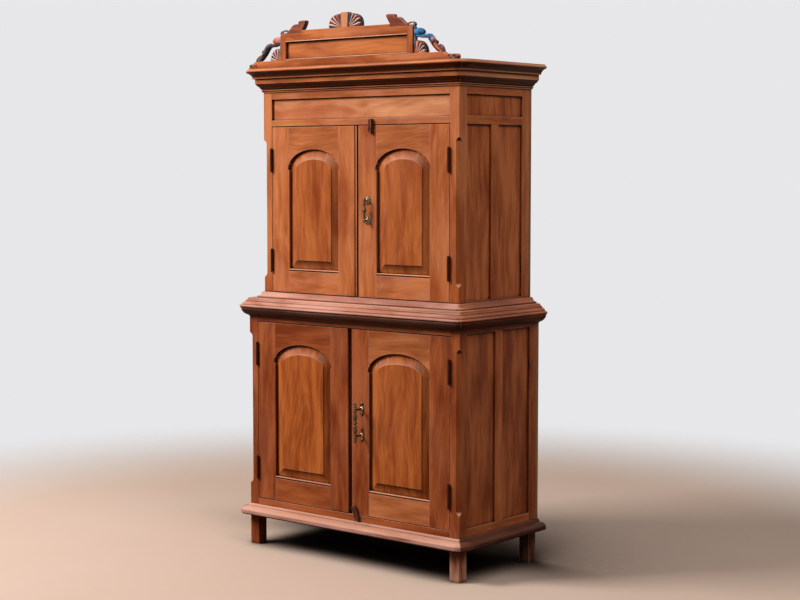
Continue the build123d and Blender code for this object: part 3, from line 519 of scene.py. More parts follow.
def wear_legs(tree, group, look):
    """Scuff the feet, most of all the front right one, and paint shade on the legs at the back under the
    case.
    """
    at = tree.parts(tree.at("Object"))
    feet = tree.times(tree.ease(at["Z"], 0.22, 0.03, 0.0, look.scuffing), tree.ease(at["X"], -0.3, 0.3),
                      tree.ease(at["Y"], 0.2, -0.1, 0.2, 1.0))
    tree.feed(group.inputs["Scuff"], feet)
    # Painted shade: the back legs are darkened low down, where the case shades them.
    under = tree.times(tree.ease(at["Z"], 0.15, 0.09, 0.0, 0.88), tree.ease(at["Y"], -0.1, 0.2))
    for socket in ("Light", "Dark"):
        plain = group.inputs[socket].default_value[:]
        tree.feed(group.inputs[socket], tree.mix(under, plain, look.soot[:]))


def paint(colour):
    """The crest's worn paint in one of the PaintSettings colours."""
    name = f"paint_{colour}"
    if name in bpy.data.materials:
        return bpy.data.materials[name]
    colours, wood = bpy.context.scene.trastero_paint, bpy.context.scene.trastero_pine
    made, tree, place = start_material(name)
    group = tree.group("chipped_paint", Vector=place, Paint=getattr(colours, colour)[:],
                       Wood=wood.carving_light[:], Soot=wood.soot[:], Chipping=colours.chipping)
    close_material(tree, group, 0.3, 0.0006, Specular_IOR_Level=0.2)
    return made


# three of the MetalSettings colours, how far it is rubbed (wear and painted highlight on the edges),
# Metallic, and specular level
METALS = {
    "handle_brass": ("brass", "brass_bright", "verdigris", 0.8, 0.75, 0.5),
    "hinge_iron": ("iron", "iron_bright", "rust", 0.5, 0.0, 0.03),
}


def cast_metal(name):
    """Dull brass or dark iron."""
    if name in bpy.data.materials:
        return bpy.data.materials[name]
    colours = bpy.context.scene.trastero_metal
    body, bright, film, rubbed, metallic, shine = METALS[name]
    made, tree, place = start_material(name)
    group = tree.group("cast_metal", Vector=place, Metal=getattr(colours, body)[:],
                       Film=getattr(colours, film)[:], Bright=getattr(colours, bright)[:],
                       Grime=colours.grime[:], Rubbed=rubbed)
    close_material(tree, group, 0.25, 0.0003, Metallic=metallic, Specular_IOR_Level=shine,
                   Specular_Tint=(1, 0.9, 0.75, 1))
    return made


# ---------------------------------------------------------------- modelling helpers
def soft_shading():
    """A geometry group that shades every face smooth."""
    if "soft_shading" in bpy.data.node_groups:
        return bpy.data.node_groups["soft_shading"]
    group = bpy.data.node_groups.new("soft_shading", "GeometryNodeTree")
    for direction in ("INPUT", "OUTPUT"):
        group.interface.new_socket(name="Geometry", in_out=direction, socket_type="NodeSocketGeometry")
    tree = Tree(group)
    given = tree.node("NodeGroupInput").outputs["Geometry"]
    smooth = tree.node("GeometryNodeSetShadeSmooth", None, Geometry=given)
    tree.node("NodeGroupOutput", None, Geometry=smooth.outputs["Geometry"])
    return group


def soften(obj, width, segments=2):
    """Round a node's hard edges and shade it softly, its own mesh left as it is."""
    weld = obj.modifiers.new("weld", "WELD")
    weld.merge_threshold = 0.00002
    flat = obj.modifiers.new("clean", "DECIMATE")
    flat.decimate_type = "DISSOLVE"
    flat.angle_limit = math.radians(0.5)
    shade = obj.modifiers.new("shade", "NODES")
    shade.node_group = soft_shading()
    edge = obj.modifiers.new("edge", "BEVEL")
    edge.width = width
    edge.segments = segments
    edge.limit_method = "ANGLE"
    edge.angle_limit = math.radians(40)
    edge.miter_outer = "MITER_ARC"
    even = obj.modifiers.new("even", "WEIGHTED_NORMAL")
    even.mode = "FACE_AREA"
    even.weight = 60


def dress(node, material, width):
    """Give a CAD node one material and rounded edges, their width in millimetres."""
    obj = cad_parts[node]
    obj.data.materials.clear()
    obj.data.materials.append(material)
    soften(obj, width * MM)


def paint_new(bm, known, index):
    """Give every face that isn't among the known ones a material index."""
    for face in bm.faces:
        if face not in known:
            face.material_index = index


def raised(bm, face, height):
    """Extrude a face in y by a height; gives its new top."""
    moved = bmesh.ops.extrude_face_region(bm, geom=[face])["geom"]
    lifted = [part for part in moved if isinstance(part, bmesh.types.BMVert)]
    bmesh.ops.translate(bm, verts=lifted, vec=(0, height, 0))
    return next(part for part in moved if isinstance(part, bmesh.types.BMFace))


def limb(bm, rows, middle, y, side=1, sides=10):
    """A carved limb in plane y: a round carried along rows of (out, up, half width, half depth, index).

    They are in millimetres from the middle (x, z), out towards the side, and the index is the material's."""
    spots = [(middle[0] + side * row[0] * MM, middle[1] + row[1] * MM) for row in rows]
    places = []
    for count, (x, z) in enumerate(spots):
        before, after = spots[max(count - 1, 0)], spots[min(count + 1, len(spots) - 1)]
        along = Vector((after[0] - before[0], 0, after[1] - before[1])).normalized()
        across = Vector((-along.z, 0, along.x))
        turn = Matrix((across, Vector((0, -1, 0)), along)).transposed().to_4x4()
        size = Matrix.Diagonal((rows[count][2] * MM, rows[count][3] * MM, 1, 1))
        places.append(Matrix.Translation((x, y, z)) @ turn @ size)
    ring = bmesh.ops.create_circle(bm, cap_ends=True, radius=1, segments=sides, matrix=places[0])["verts"]
    cap = next(iter(set(ring[0].link_faces)))
    cap.material_index = rows[0][4]
    for count in range(1, len(rows)):
        moved = bmesh.ops.extrude_face_region(bm, geom=[cap])["geom"]
        cap = next(part for part in moved if isinstance(part, bmesh.types.BMFace))
        bmesh.ops.transform(bm, matrix=places[count] @ places[count - 1].inverted(), verts=cap.verts)
        around = [face for vert in cap.verts for face in vert.link_faces] if count == 1 else [cap]
        for face in around:
            face.material_index = rows[count][4]


def turned(bm, profile, place, index=0, steps=20):
    """A turned piece: a profile of (distance out, distance along) spun about Z, then placed."""
    known_verts, known_faces = set(bm.verts), set(bm.faces)
    points = [bm.verts.new((out, 0, along)) for out, along in profile]
    edges = [bm.edges.new(pair) for pair in zip(points, points[1:])]
    bmesh.ops.spin(bm, geom=points + edges, cent=(0, 0, 0), axis=(0, 0, 1), angle=math.tau, steps=steps,
                   use_merge=True)
    fresh = [vert for vert in bm.verts if vert not in known_verts]
    bmesh.ops.remove_doubles(bm, verts=fresh, dist=1e-7)
    fresh = [vert for vert in bm.verts if vert not in known_verts]
    bmesh.ops.transform(bm, matrix=place, verts=fresh)
    paint_new(bm, known_faces, index)


def plate(bm, outline, front, bevel, index=0, side_index=None):
    """A flat piece from its outline in x and z, from front to the carving's back, its front edge rounded."""
    known = set(bm.faces)
    face = bm.faces.new([bm.verts.new((x, CARVING_BACK, z)) for x, z in outline])
    top = raised(bm, face, front - CARVING_BACK)
    paint_new(bm, known, index if side_index is None else side_index)
    top.material_index = index
    bmesh.ops.bevel(bm, geom=list(top.edges), offset=bevel, affect="EDGES", segments=2, profile=0.5,
                    material=-1, offset_type="OFFSET")


def rim_reach(offset, angle, wide, high, power=2.0):
    """Distance at an angle from a point on the long axis to the rim, where a power of 2 is an ellipse."""
    near, far = 0.0, 2 * wide
    for _ in range(40):
        middle = (near + far) / 2
        x, z = (offset + middle * math.cos(angle)) / wide, middle * math.sin(angle) / high
        if x ** power + z ** power < 1:
            near = middle
        else:
            far = middle
    return near


def half_round_ground(bm, centre, wide, high, quarter, index, side_index, power=2.0):
    """The ground behind ribs: an upper half round, or a quarter of it towards +X or -X."""
    known = set(bm.faces)
    middle = (centre[0], CARVING_BACK, centre[1])
    place = Matrix.Translation(middle) @ Matrix.Diagonal((wide, 1, high, 1))
    place = place @ Matrix.Rotation(math.pi / 2, 4, "X")
    ring = bmesh.ops.create_circle(bm, cap_ends=True, radius=1, segments=64)["verts"]
    for vert in ring:
        vert.co /= (abs(vert.co.x) ** power + abs(vert.co.y) ** power) ** (1 / power)
    bmesh.ops.transform(bm, matrix=place, verts=ring)
    for normal in [(0, 0, -1)] + ([(-quarter, 0, 0)] if quarter else []):
        fresh = [face for face in bm.faces if face not in known]
        around = {part for face in fresh for part in (*face.verts, *face.edges, face)}
        bmesh.ops.bisect_plane(bm, geom=list(around), dist=1e-7, plane_co=middle, plane_no=normal,
                               clear_outer=True)
    face = next(face for face in bm.faces if face not in known)
    top = raised(bm, face, RIB_GROUND - CARVING_BACK)
    paint_new(bm, known, side_index)
    top.material_index = index


# a rib's profile over its own half width and length, which is round at its outer end
RIB = ((0, 0), (0.3, 0.1), (0.72, 0.55), (1, 0.87), (0.86, 0.95), (0.5, 0.99), (0, 1))
# angles of the first and last rib in degrees, share of its own sector that a rib fills, share of the rim left
SHELL_SPREAD = (4.5, 86.5, 1.0, 0.7)
FAN_SPREAD = (87, 4, 0.98, 1.0)


def rib_row(bm, x, z, side, ribs, spread, reach_at, indices):
    """Carve ribs from a hub outwards, which lean to one side of it."""
    carving = bpy.context.scene.trastero_carving
    first, last, filled, rim = spread
    for count in range(ribs):
        angle = math.radians(first + (last - first) * count / (ribs - 1))
        reach = reach_at(angle) - carving.rim * rim
        radius = reach * math.radians(abs(last - first) / (ribs - 1)) / 2 * filled
        aim = angle if side > 0 else math.pi - angle
        place = Matrix.Translation((x, RIB_GROUND, z)) @ Matrix.Rotation(math.pi / 2 - aim, 4, "Y")
        place = place @ Matrix.Diagonal((radius, carving.rib_rise, reach, 1))
        turned(bm, RIB, place, indices[count % len(indices)], steps=12)


def add_object(name, data):
    """Put an object into the scene, in the place of an earlier one of that name."""
    old = bpy.data.objects.get(name)
    if old is not None:
        bpy.data.objects.remove(old)
    obj = bpy.data.objects.new(name, data)
    bpy.context.scene.collection.objects.link(obj)
    return obj


def finish_piece(bm, name, materials, nodes=(), body="case", rounds=0):
    """Turn a bmesh into a piece that rides on a body and stands for the given nodes."""
    bmesh.ops.recalc_face_normals(bm, faces=bm.faces)
    mesh = bpy.data.meshes.new(name)
    bm.to_mesh(mesh)
    bm.free()
    if not len(mesh.polygons):
        raise RuntimeError(f"{name} came out empty")
    for material in materials:
        mesh.materials.append(material)
    obj = add_object(name, mesh)
    if rounds:
        smooth = obj.modifiers.new("round", "SUBSURF")
        smooth.levels = smooth.render_levels = rounds
    shade = obj.modifiers.new("shade", "NODES")
    shade.node_group = soft_shading()
    even = obj.modifiers.new("even", "WEIGHTED_NORMAL")
    even.mode = "FACE_AREA"
    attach(obj, body)
    if nodes:
        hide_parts(*nodes)
    return {"FINISHED"}


# ---------------------------------------------------------------- joinery
DOORS = tuple(f"{stage}_{side}_door" for stage in ("upper", "lower") for side in ("left", "right"))
# finish, grain, edge rounding in millimetres, nodes
JOINERY = (
    ("upper_frame", "Z", 1.6, ("upper_posts",)),
    ("lower_frame", "Z", 1.6, ("lower_posts",)),
    ("upper_rail", "X", 1.2, ("upper_front_rails",)),
    ("lower_frame", "X", 1.2, ("lower_front_rails",)),
    ("upper_frame", "Z", 1.3, tuple(f"{door}_stiles" for door in DOORS[:2])),
    ("lower_frame", "Z", 1.3, tuple(f"{door}_stiles" for door in DOORS[2:])),
    ("upper_rail", "X", 1.3, tuple(f"{door}_rails" for door in DOORS[:2])),
    ("lower_frame", "X", 1.3, ("lower_left_door_rails",)),
    ("pale_rail", "X", 1.3, ("lower_right_door_rails",)),
    ("upper_panel", "Z", 0.8, tuple(f"{door}_panel" for door in DOORS[:2])),
    ("lower_panel", "Z", 0.8, tuple(f"{door}_panel" for door in DOORS[2:])),
    ("frieze", "X", 0.8, ("frieze_panel",)),
    ("base_moulding", "X", 1.0, ("base_moulding_front",)),
    ("moulding", "X", 1.0, ("waist_moulding_front", "foot_moulding_front")),
    ("end_moulding", "Y", 1.0, ("waist_moulding_sides", "foot_moulding_sides")),
    ("end_foot", "Y", 1.0, ("base_moulding_sides",)),
    ("cornice", "X", 1.0, ("cornice_front",)),
    ("end_cornice", "Y", 1.0, ("cornice_sides",)),
    ("crest", "X", 1.3, ("crest_base_rail", "crest_top_rail", "crest_panel")),
    ("crest", "Z", 1.3, ("crest_posts",)),
    ("end_frame", "Y", 1.2, ("upper_side_rails",)),
    ("low_end_frame", "Y", 1.2, ("lower_side_rails",)),
    ("end_frame", "Z", 1.2, ("side_muntins",)),
    ("end_panel", "Z", 0.8, ("upper_side_panels",)),
    ("low_end_panel", "Z", 0.8, ("lower_side_panels",)),
    ("plain", "Z", 0.8, ("upper_back_boards", "lower_back_boards")),
    ("plain", "X", 0.8, ("upper_shelves", "lower_shelves", "deck_board", "top_board", "door_stops")),
    ("plain", "Y", 0.8, ("shelf_cleats",)),
    ("button", "Z", 1.5, ("upper_turn_button", "lower_turn_button")),
)


class TRASTERO_OT_joinery(bpy.types.Operator):
    """Give every board, rail, moulding and door piece its pine and its rounded edges"""
    bl_idname = "trastero.joinery"
    bl_label = "Joinery"

    def execute(self, context):
        for finish, grain, width, nodes in JOINERY:
            for node in nodes:
                low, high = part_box(node)
                centre = (low + high) / 2
                if finish.endswith("end_panel"):
                    centre.x = high.x
                dress(node, pine(f"pine_{node}", finish, grain, centre), width)
        return {"FINISHED"}


class TRASTERO_OT_ironwork(bpy.types.Operator):
    """Finish the hinges, their pins and the turn buttons' screws in dark iron"""
    bl_idname = "trastero.ironwork"
    bl_label = "Ironwork"

    def execute(self, context):
        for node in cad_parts:
            if node.startswith("hinge") or node.endswith(("hinge_leaves", "button_screw")):
                dress(node, cast_metal("hinge_iron"), 0.4)
        return {"FINISHED"}


# ---------------------------------------------------------------- crest
SHELL_COLOURS = {
    -1: ("black", "cream", "oxide", "cream", "oxide", "cream", "oxide", "rose", "amber", "slate", "slate"),
    1: ("oxide", "cream", "black", "cream", "oxide", "cream", "oxide", "cream", "black", "blue", "black"),
}
FAN_COLOURS = ("cream", "oxide", "cream", "oxide", "cream", "black", "cream", "rose")


class TRASTERO_OT_shell(bpy.types.Operator):
    """Carve the shell: a plain band with ribs fanning out on both sides"""
    bl_idname = "trastero.shell"
    bl_label = "Shell"

    def execute(self, context):
        carving = context.scene.trastero_carving
        low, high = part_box("crest_shell")
        middle, wide, tall = (low.x + high.x) / 2, (high.x - low.x) / 2, high.z - low.z
        ribs_tall, power = tall * carving.shell_ribs_height, carving.shell_roundness
        inset = carving.shell_band / 2
        names = sorted({colour for side in SHELL_COLOURS.values() for colour in side} | {"bottle"})
        bm = bmesh.new()
        half_round_ground(bm, (middle, low.z), wide, ribs_tall, 0, names.index("oxide"),
                          names.index("slate"), power)
        for side, colours in SHELL_COLOURS.items():
            rib_row(bm, middle + side * inset, low.z, side, carving.shell_ribs, SHELL_SPREAD,
                    lambda angle: rim_reach(inset, angle, wide, ribs_tall, power),
                    [names.index(c) for c in colours])
        left, right = middle - inset, middle + inset
        band = [(left, low.z), (right, low.z), (right, high.z), (left, high.z)]
        plate(bm, band, CARVING_FRONT, 1.5 * MM, len(names))
        wood = pine("pine_shell_band", "frieze", "Z", (middle, RIB_GROUND, high.z))
        return finish_piece(bm, "shell_carving", [paint(n) for n in names] + [wood], ["crest_shell"])


class TRASTERO_OT_fans(bpy.types.Operator):
    """Carve the two quarter fans beside the crest's posts"""
    bl_idname = "trastero.fans"
    bl_label = "Fans"

    def execute(self, context):
        carving = context.scene.trastero_carving
        low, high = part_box("crest_fans")
        wide, tall = high.x - CREST_MIDDLE - POST_OUT - carving.fan_hub, high.z - low.z
        names = sorted(set(FAN_COLOURS) | {"bottle", "slate", "amber"})
        bm = bmesh.new()
        for side, rim in ((-1, "slate"), (1, "bottle")):
            post = CREST_MIDDLE + side * POST_OUT
            hub = post + side * carving.fan_hub
            half_round_ground(bm, (hub, low.z), wide, tall, side, names.index("oxide"), names.index(rim))
            filler = [(post, low.z), (hub, low.z), (hub, high.z), (post, high.z)]
            plate(bm, filler, RIB_GROUND - 1 * MM, 0.8 * MM, names.index("amber"))
            rib_row(bm, hub, low.z, side, carving.fan_ribs, FAN_SPREAD,
                    lambda angle: rim_reach(0, angle, wide, tall), [names.index(c) for c in FAN_COLOURS])
        return finish_piece(bm, "fan_carvings", [paint(n) for n in names], ["crest_fans"])


# half of the ears' outline, in millimetres from the middle and over the top rail
EAR_OUTLINE = (
    (303, -8), (303, -11), (221, -11), (221, 0), (216.5, 5), (210.5, 14), (206, 22), (204, 28), (203, 35),
    (238, 34.5), (240, 21), (247, 22), (254, 23), (260, 22.5), (265, 21), (271, 16), (277, 10), (284, 5),
    (293, -1),
)
# painted edges of the ears: (out, up, half width, half depth), and their colours on the left and right
EAR_EDGES = (
    (((202.5, 34, 1.2, 8), (210, 35.4, 1.6, 10.4), (226, 35.2, 1.6, 10.4),
      (238, 34, 1.2, 8)), "sage", "slate"),
    (((241, 21.5, 1.2, 8), (250, 23, 1.6, 10.4), (262, 22.2, 1.6, 10.4), (270, 17, 1.6, 10.4),
      (279, 8.5, 1.6, 10.4), (292, -0.5, 1.4, 10), (300, -7, 1, 8)), "slate", "slate"),
    (((205.5, 22, 1, 8), (203.5, 28, 1.5, 10.4), (202.6, 34, 1.8, 10.4),
      (204, 36, 1, 8)), "plum", "amber"),
)


class TRASTERO_OT_ears(bpy.types.Operator):
    """Carve the two eared ornaments on the crest's top rail"""
    bl_idname = "trastero.ears"
    bl_label = "Ears"

    def execute(self, context):
        low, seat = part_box("crest_ears")[0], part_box("crest_top_rail")[1].z
        names = ["bare", "amber", "black", "plum", "sage", "slate"]
        bm = bmesh.new()
        for side in (-1, 1):
            outline = [(CREST_MIDDLE + side * x * MM, seat + z * MM) for x, z in EAR_OUTLINE]
            # The left ear's sides are black: dark paint standing in for the shade on that side (painted
            # shade). The right ear's sides stay bare wood.
            plate(bm, outline, CARVING_FRONT + 1 * MM, 1.4 * MM, 0, names.index("black") if side < 0 else 0)
            for rows, left, right in EAR_EDGES:
                index = names.index(left if side < 0 else right)
                limb(bm, [(*row, index) for row in rows], (CREST_MIDDLE, seat), CARVING_PLANE, side, 8)
        wood = pine("pine_ears", "carving", "X", (0, CARVING_FRONT, low.z))
        return finish_piece(bm, "ear_carvings", [wood] + [paint(n) for n in names[1:]], ["crest_ears"])


# stations of the carved brackets, in millimetres outwards from the post and over its foot:
# (out, up, half width, half depth, colour on the left, colour on the right)
BRACKET_LIMBS = (
    ((3, 78, 8, 8, "rose", "blue"), (10, 78, 12, 10, "rose", "blue"), (19, 78, 13.5, 11, "rose", "blue"),
     (29, 78, 13.5, 11, "amber", "blue"), (39, 76.5, 12, 11, "amber", "blue"),
     (46, 74, 8.5, 9, "slate", "bottle"), (50, 72, 3, 5, "slate", "bottle")),
    ((8, 64, 6, 8.5, "black", "blue"), (22, 61.5, 5, 8.5, "black", "blue"),
     (36, 60.5, 5.4, 9, "plum", "blue"), (50, 61.5, 6, 9.5, "plum", "blue"),
     (64, 62, 7.5, 10, "slate", "blue"), (76, 59, 9, 10, "slate", "blue"),
     (86, 50, 9.5, 10, "slate", "rose"), (92, 40, 9.5, 10, "slate", "plum"),
     (98, 30, 9, 9.5, "plum", "amber"), (107, 19, 8.5, 9.5, "slate", "amber"),
     (117, 11, 7.5, 9, "sage", "amber"), (127, 4, 6, 8, "sage", "amber"),
     (134, -2, 3.5, 6, "sage", "amber")),
    ((20, 58.5, 1.6, 7, "black", "black"), (36, 56, 2.6, 9.6, "black", "rose"),
     (54, 56, 2.8, 9.6, "black", "plum"), (67, 53, 3.2, 9.8, "black", "rose"),
     (77, 41, 3.4, 10, "black", "rose"), (86, 29, 3.4, 9.8, "black", "oxide"),
     (96, 18, 3.2, 9.6, "black", "oxide"), (107, 7, 2.6, 8, "black", "amber"),
     (115, 1, 1.6, 6, "black", "amber")),
    ((96, 38, 2, 5, "sage", "bottle"), (101, 41, 4.6, 8, "sage", "bottle"),
     (106, 37, 5.2, 8, "sage", "bottle"), (109, 30, 2.5, 5, "sage", "bottle")),
    ((111, 23, 2.5, 6, "cream", "slate"), (118, 23.5, 6, 9, "cream", "slate"),
     (127, 19.5, 7, 9.5, "cream", "rose"), (133, 12, 6.5, 9, "sage", "slate"),
     (137, 4, 5, 8, "slate", "amber"), (140, -3, 3, 6, "slate", "amber")),
    ((5, 8, 3, 6, "sage", "slate"), (5.5, 24, 5, 9.6, "sage", "slate"), (5.5, 46, 5, 9.6, "sage", "sage"),
     (6, 64, 5.5, 9.6, "rose", "blue"), (6, 84, 6, 9.6, "rose", "blue"), (5, 93, 5, 9, "rose", "sage"),
     (4, 98, 2.5, 6, "plum", "sage")),
    ((-31, 108, 1.6, 6, "bottle", "cream"), (-25, 111.5, 3.8, 9, "sage", "cream"),
     (-16, 113.5, 4, 10, "cream", "cream"), (-7, 113.5, 4, 10, "cream", "cream"),
     (1, 110.5, 3.8, 10, "cream", "sage"), (5, 104, 3.4, 9, "slate", "bottle"),
     (5, 97.5, 2, 6, "slate", "bottle")),
    ((-25, 102.6, 1.6, 8, "cream", "cream"), (-12, 103.2, 2.4, 10.6, "cream", "cream"),
     (-1, 102.6, 1.6, 8, "cream", "cream")),
)


class TRASTERO_OT_brackets(bpy.types.Operator):
    """Carve the scrolled brackets, their leaves, the strips beside the posts and the curls on top"""
    bl_idname = "trastero.brackets"
    bl_label = "Brackets"

    def execute(self, context):
        names = sorted({name for stations in BRACKET_LIMBS for row in stations for name in row[4:]})
        bm = bmesh.new()
        for side in (-1, 1):
            for stations in BRACKET_LIMBS:
                rows = [(*row[:4], names.index(row[4] if side < 0 else row[5])) for row in stations]
                limb(bm, rows, (CREST_MIDDLE + side * POST_OUT, POST_FOOT), CARVING_PLANE, side)
        return finish_piece(bm, "bracket_carvings", [paint(n) for n in names], ["crest_brackets"], rounds=1)


CURL_RADIUS = 9.0
CURL_TIGHTENING = 0.78


def curl(out, up, start, turns, thick, deep, indices):
    """Rows for a limb that is wound inwards round (out, up), all in millimetres and degrees."""
    steps = round(turns * 12)
    rows = []
    for count in range(steps + 1):
        part = count / steps
        angle = math.radians(start) + math.tau * turns * part
        radius = CURL_RADIUS * (1 - CURL_TIGHTENING * part)
        swell = thick * (0.5 + 0.6 * math.sin(math.pi * min(1, part * 1.3 + 0.12)))
        rows.append((out + radius * math.cos(angle), up + radius * math.sin(angle), swell, deep,
                     indices[min(len(indices) - 1, int(part * len(indices)))]))
    return rows


class TRASTERO_OT_rail_ends(bpy.types.Operator):
    """Carve the painted curls in relief on the ends of the crest's base rail"""
    bl_idname = "trastero.rail_ends"
    bl_label = "Rail ends"

    def execute(self, context):
        low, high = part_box("crest_base_rail")
        rose, sage, bottle, amber, oxide = range(5)
        stem = ((-22, 3, 1.5, 3, sage), (-14, 2.5, 2.4, 5, bottle), (-4, 4, 2.4, 5, bottle),
                (3, 3, 1.2, 3, bottle))
        bm = bmesh.new()
        for side in (-1, 1):
            inner = curl(-36, 11.5, 200, 1.3, 3.2, 5, (rose if side > 0 else amber, rose, oxide))
            outer = curl(-13, 10.5, 170, 1.2, 3.4, 6, (sage, sage, bottle))
            for rows in (inner, outer, stem):
                limb(bm, rows, (side * high.x, low.z), CREST_FACE + 2 * MM, side, 8)
        paints = [paint(n) for n in ("rose", "sage", "bottle", "amber", "oxide")]
        return finish_piece(bm, "rail_end_curls", paints, rounds=1)


class TRASTERO_OT_recess_beads(bpy.types.Operator):
    """Run the small beads along the top and foot of the crest's recess"""
    bl_idname = "trastero.recess_beads"
    bl_label = "Recess beads"

    def execute(self, context):
        low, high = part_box("crest_panel")
        left, right = low.x / MM, high.x / MM
        rows = ((left + 0.5, 0, 2.0, 3, 0), (left / 2, 0, 2.2, 3, 0), (right / 2, 0, 2.2, 3, 0),
                (right - 0.5, 0, 2.0, 3, 0))
        bm = bmesh.new()
        limb(bm, rows, (0, low.z + 2.2 * MM), CREST_FACE + 3 * MM, sides=12)
        limb(bm, rows, (0, high.z + 1.6 * MM), CREST_FACE + 1.2 * MM, sides=12)
        wood = pine("pine_recess_beads", "bead", "X", (0, CREST_FACE, low.z))
        return finish_piece(bm, "recess_beads", [wood])


# ---------------------------------------------------------------- handles
# turned profiles: (distance out, distance along) in millimetres, the upper bar's only from its middle up
UPPER_BAR = (
    (8, 0), (7, 4.4), (4.2, 7.2), (6.2, 9.2), (5.2, 11.6), (3.4, 14.6), (4.8, 22), (3.2, 30), (3.6, 35.4),
    (6, 38), (3.6, 40.2), (5, 42.5), (3, 45.6), (0, 46.5),
)
LOWER_BAR = (
    (0, -76), (2.6, -75), (4, -72.6), (2.8, -70.6), (5.6, -68.6), (6.6, -66), (5.6, -63.4), (3.6, -60.6),
    (6.2, -57), (7.6, -54), (6.2, -51), (4.6, -50.2), (6.4, -49.2), (7.2, -46.6), (6, -44), (4, -41.4),
    (6.6, -37), (8, -29.5), (6.8, -22.6), (4.4, -20), (6.4, -18), (7.6, -15), (6.4, -12), (4.2, -8.6),
    (4.2, -5), (6.6, -2.8), (7.8, 0), (6.6, 2.8), (4.2, 5.6), (5, 9), (7.2, 14), (8, 21), (6.8, 28.5),
    (4.2, 34), (4.2, 40), (5.8, 43.4), (7.2, 46), (5.8, 48.4), (5, 49.4), (6, 50.4), (7.4, 53), (6, 55.4),
    (3.8, 57), (5.8, 58.4), (7, 61), (5.8, 63.6), (3.4, 66), (5, 68), (6, 70.6), (5, 73.2), (0, 76),
)
ARM = ((0, -1), (5, -1), (5.6, 2), (4, 5), (3.6, 9), (4.6, 13), (3.6, 17), (4.2, 20), (0, 21))
ARM_LENGTH = 20 * MM
BOSS = ((0, 0), (7.4, 0), (7.4, 4.4), (5.4, 6.6), (0, 7.4))
# a lobed leaf and its vein: (up, half width, half depth) in millimetres
LEAF = (
    (-28, 1.2, 1.4), (-24, 4, 2.4), (-18, 8, 3.2), (-13, 7, 3), (-9, 6, 3.2), (-4, 10.4, 4),
    (1, 11.6, 4.4), (6, 9.6, 4), (10, 6, 3.2), (15, 8.4, 3.4), (20, 6.4, 3), (25, 3, 2.2), (28, 1.2, 1.2),
)
VEIN = ((-26, 0.6, 1), (-12, 1.2, 4.6), (0, 1.4, 5.6), (12, 1.2, 4.6), (26, 0.6, 1))


def scaled(profile, along=1.0):
    """A millimetre profile in metres, stretched along its axis."""
    return [(out * MM, reach * MM * along) for out, reach in profile]


def outwards(x, y, z):
    """A place whose Z axis points out of the doors."""
    return Matrix.Translation((x, y, z)) @ Matrix.Rotation(math.pi / 2, 4, "X")


def arm(bm, x, z, face, bar_y):
    """One of a handle's arms, from the door's face to the bar."""
    turned(bm, scaled(ARM, (face - bar_y) / ARM_LENGTH), outwards(x, face - 1 * MM, z))


class TRASTERO_OT_upper_handle(bpy.types.Operator):
    """Build the upper handle: a turned bar with a knob on two domed, petalled rosettes"""
    bl_idname = "trastero.upper_handle"
    bl_label = "Upper handle"

    def execute(self, context):
        sizes = context.scene.trastero_handles
        low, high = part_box("upper_handle_bar")
        rose_low, rose_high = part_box("upper_handle_rosettes")
        x, z, bar_y = (low.x + high.x) / 2, (low.z + high.z) / 2, low.y + 7 * MM
        radius = (rose_high.x - rose_low.x) / 2
        dome = ((0, 0), (radius / MM * 0.98, 0), (radius / MM, 1.2), (radius / MM * 0.8, 2.8), (7.6, 3.2),
                (7, 5.4), (4.4, 7.2), (0, 7.8))
        petal = Matrix.Diagonal((sizes.petal_size, sizes.petal_size * 0.76, 2.9 * MM, 1))
        push = Matrix.Translation((sizes.petal_ring, 0, 2.2 * MM))
        bm = bmesh.new()
        lower_end = [(out, -along) for out, along in reversed(UPPER_BAR)]
        turned(bm, scaled(lower_end + list(UPPER_BAR[1:])), Matrix.Translation((x, bar_y, z)))
        for side in (-1, 1):
            at = z + side * ((rose_high.z - rose_low.z) / 2 - radius)
            arm(bm, x, at, UPPER_FACE, bar_y)
            turned(bm, scaled(dome), outwards(x, UPPER_FACE, at), steps=24)
            for count in range(sizes.petals):
                turn = Matrix.Rotation(math.tau * (count + 0.5) / sizes.petals, 4, "Z")
                bmesh.ops.create_uvsphere(bm, u_segments=12, v_segments=7, radius=1,
                                          matrix=outwards(x, UPPER_FACE, at) @ turn @ push @ petal)
        return finish_piece(bm, "upper_handle", [cast_metal("handle_brass")],
                            ["upper_handle_bar", "upper_handle_rosettes"], "upper_right_door")


class TRASTERO_OT_lower_handle(bpy.types.Operator):
    """Build the lower handle: a beaded, turned bar on two leaf-shaped rosettes"""
    bl_idname = "trastero.lower_handle"
    bl_label = "Lower handle"

    def execute(self, context):
        low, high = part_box("lower_handle_bar")
        x, z, bar_y = (low.x + high.x) / 2, (low.z + high.z) / 2, low.y + 8 * MM
        bm = bmesh.new()
        turned(bm, scaled(LOWER_BAR), Matrix.Translation((x, bar_y, z)))
        for side in (-1, 1):
            at = z + side * 50 * MM
            arm(bm, x, at, LOWER_FACE, bar_y)
            limb(bm, [(0, *row, 0) for row in LEAF], (x, at), LOWER_FACE - 0.6 * MM, sides=16)
            turned(bm, scaled(BOSS), outwards(x, LOWER_FACE, at))
            limb(bm, [(0, *row, 0) for row in VEIN], (x, at), LOWER_FACE - 0.6 * MM, sides=8)
        return finish_piece(bm, "lower_handle", [cast_metal("handle_brass")],
                            ["lower_handle_bar", "lower_handle_rosettes"], "lower_right_door")


# ---------------------------------------------------------------- stage
# where the lamps stand and what they are aimed at
LAMPS = {"key": ((-2.9, -3.1, 4.1), (0, -0.2, 1.1)), "side": ((3.5, -1.3, 4.4), (0.4, 0, 1.1))}
CAMERA_PLACE = (4.2555, -5.0015, 1.5038)
CAMERA_DOWN, CAMERA_LEFT = 4.46, 39.95
DUST, GRIT = (0.72, 0.6, 0.52), (0.5, 0.4, 0.34)


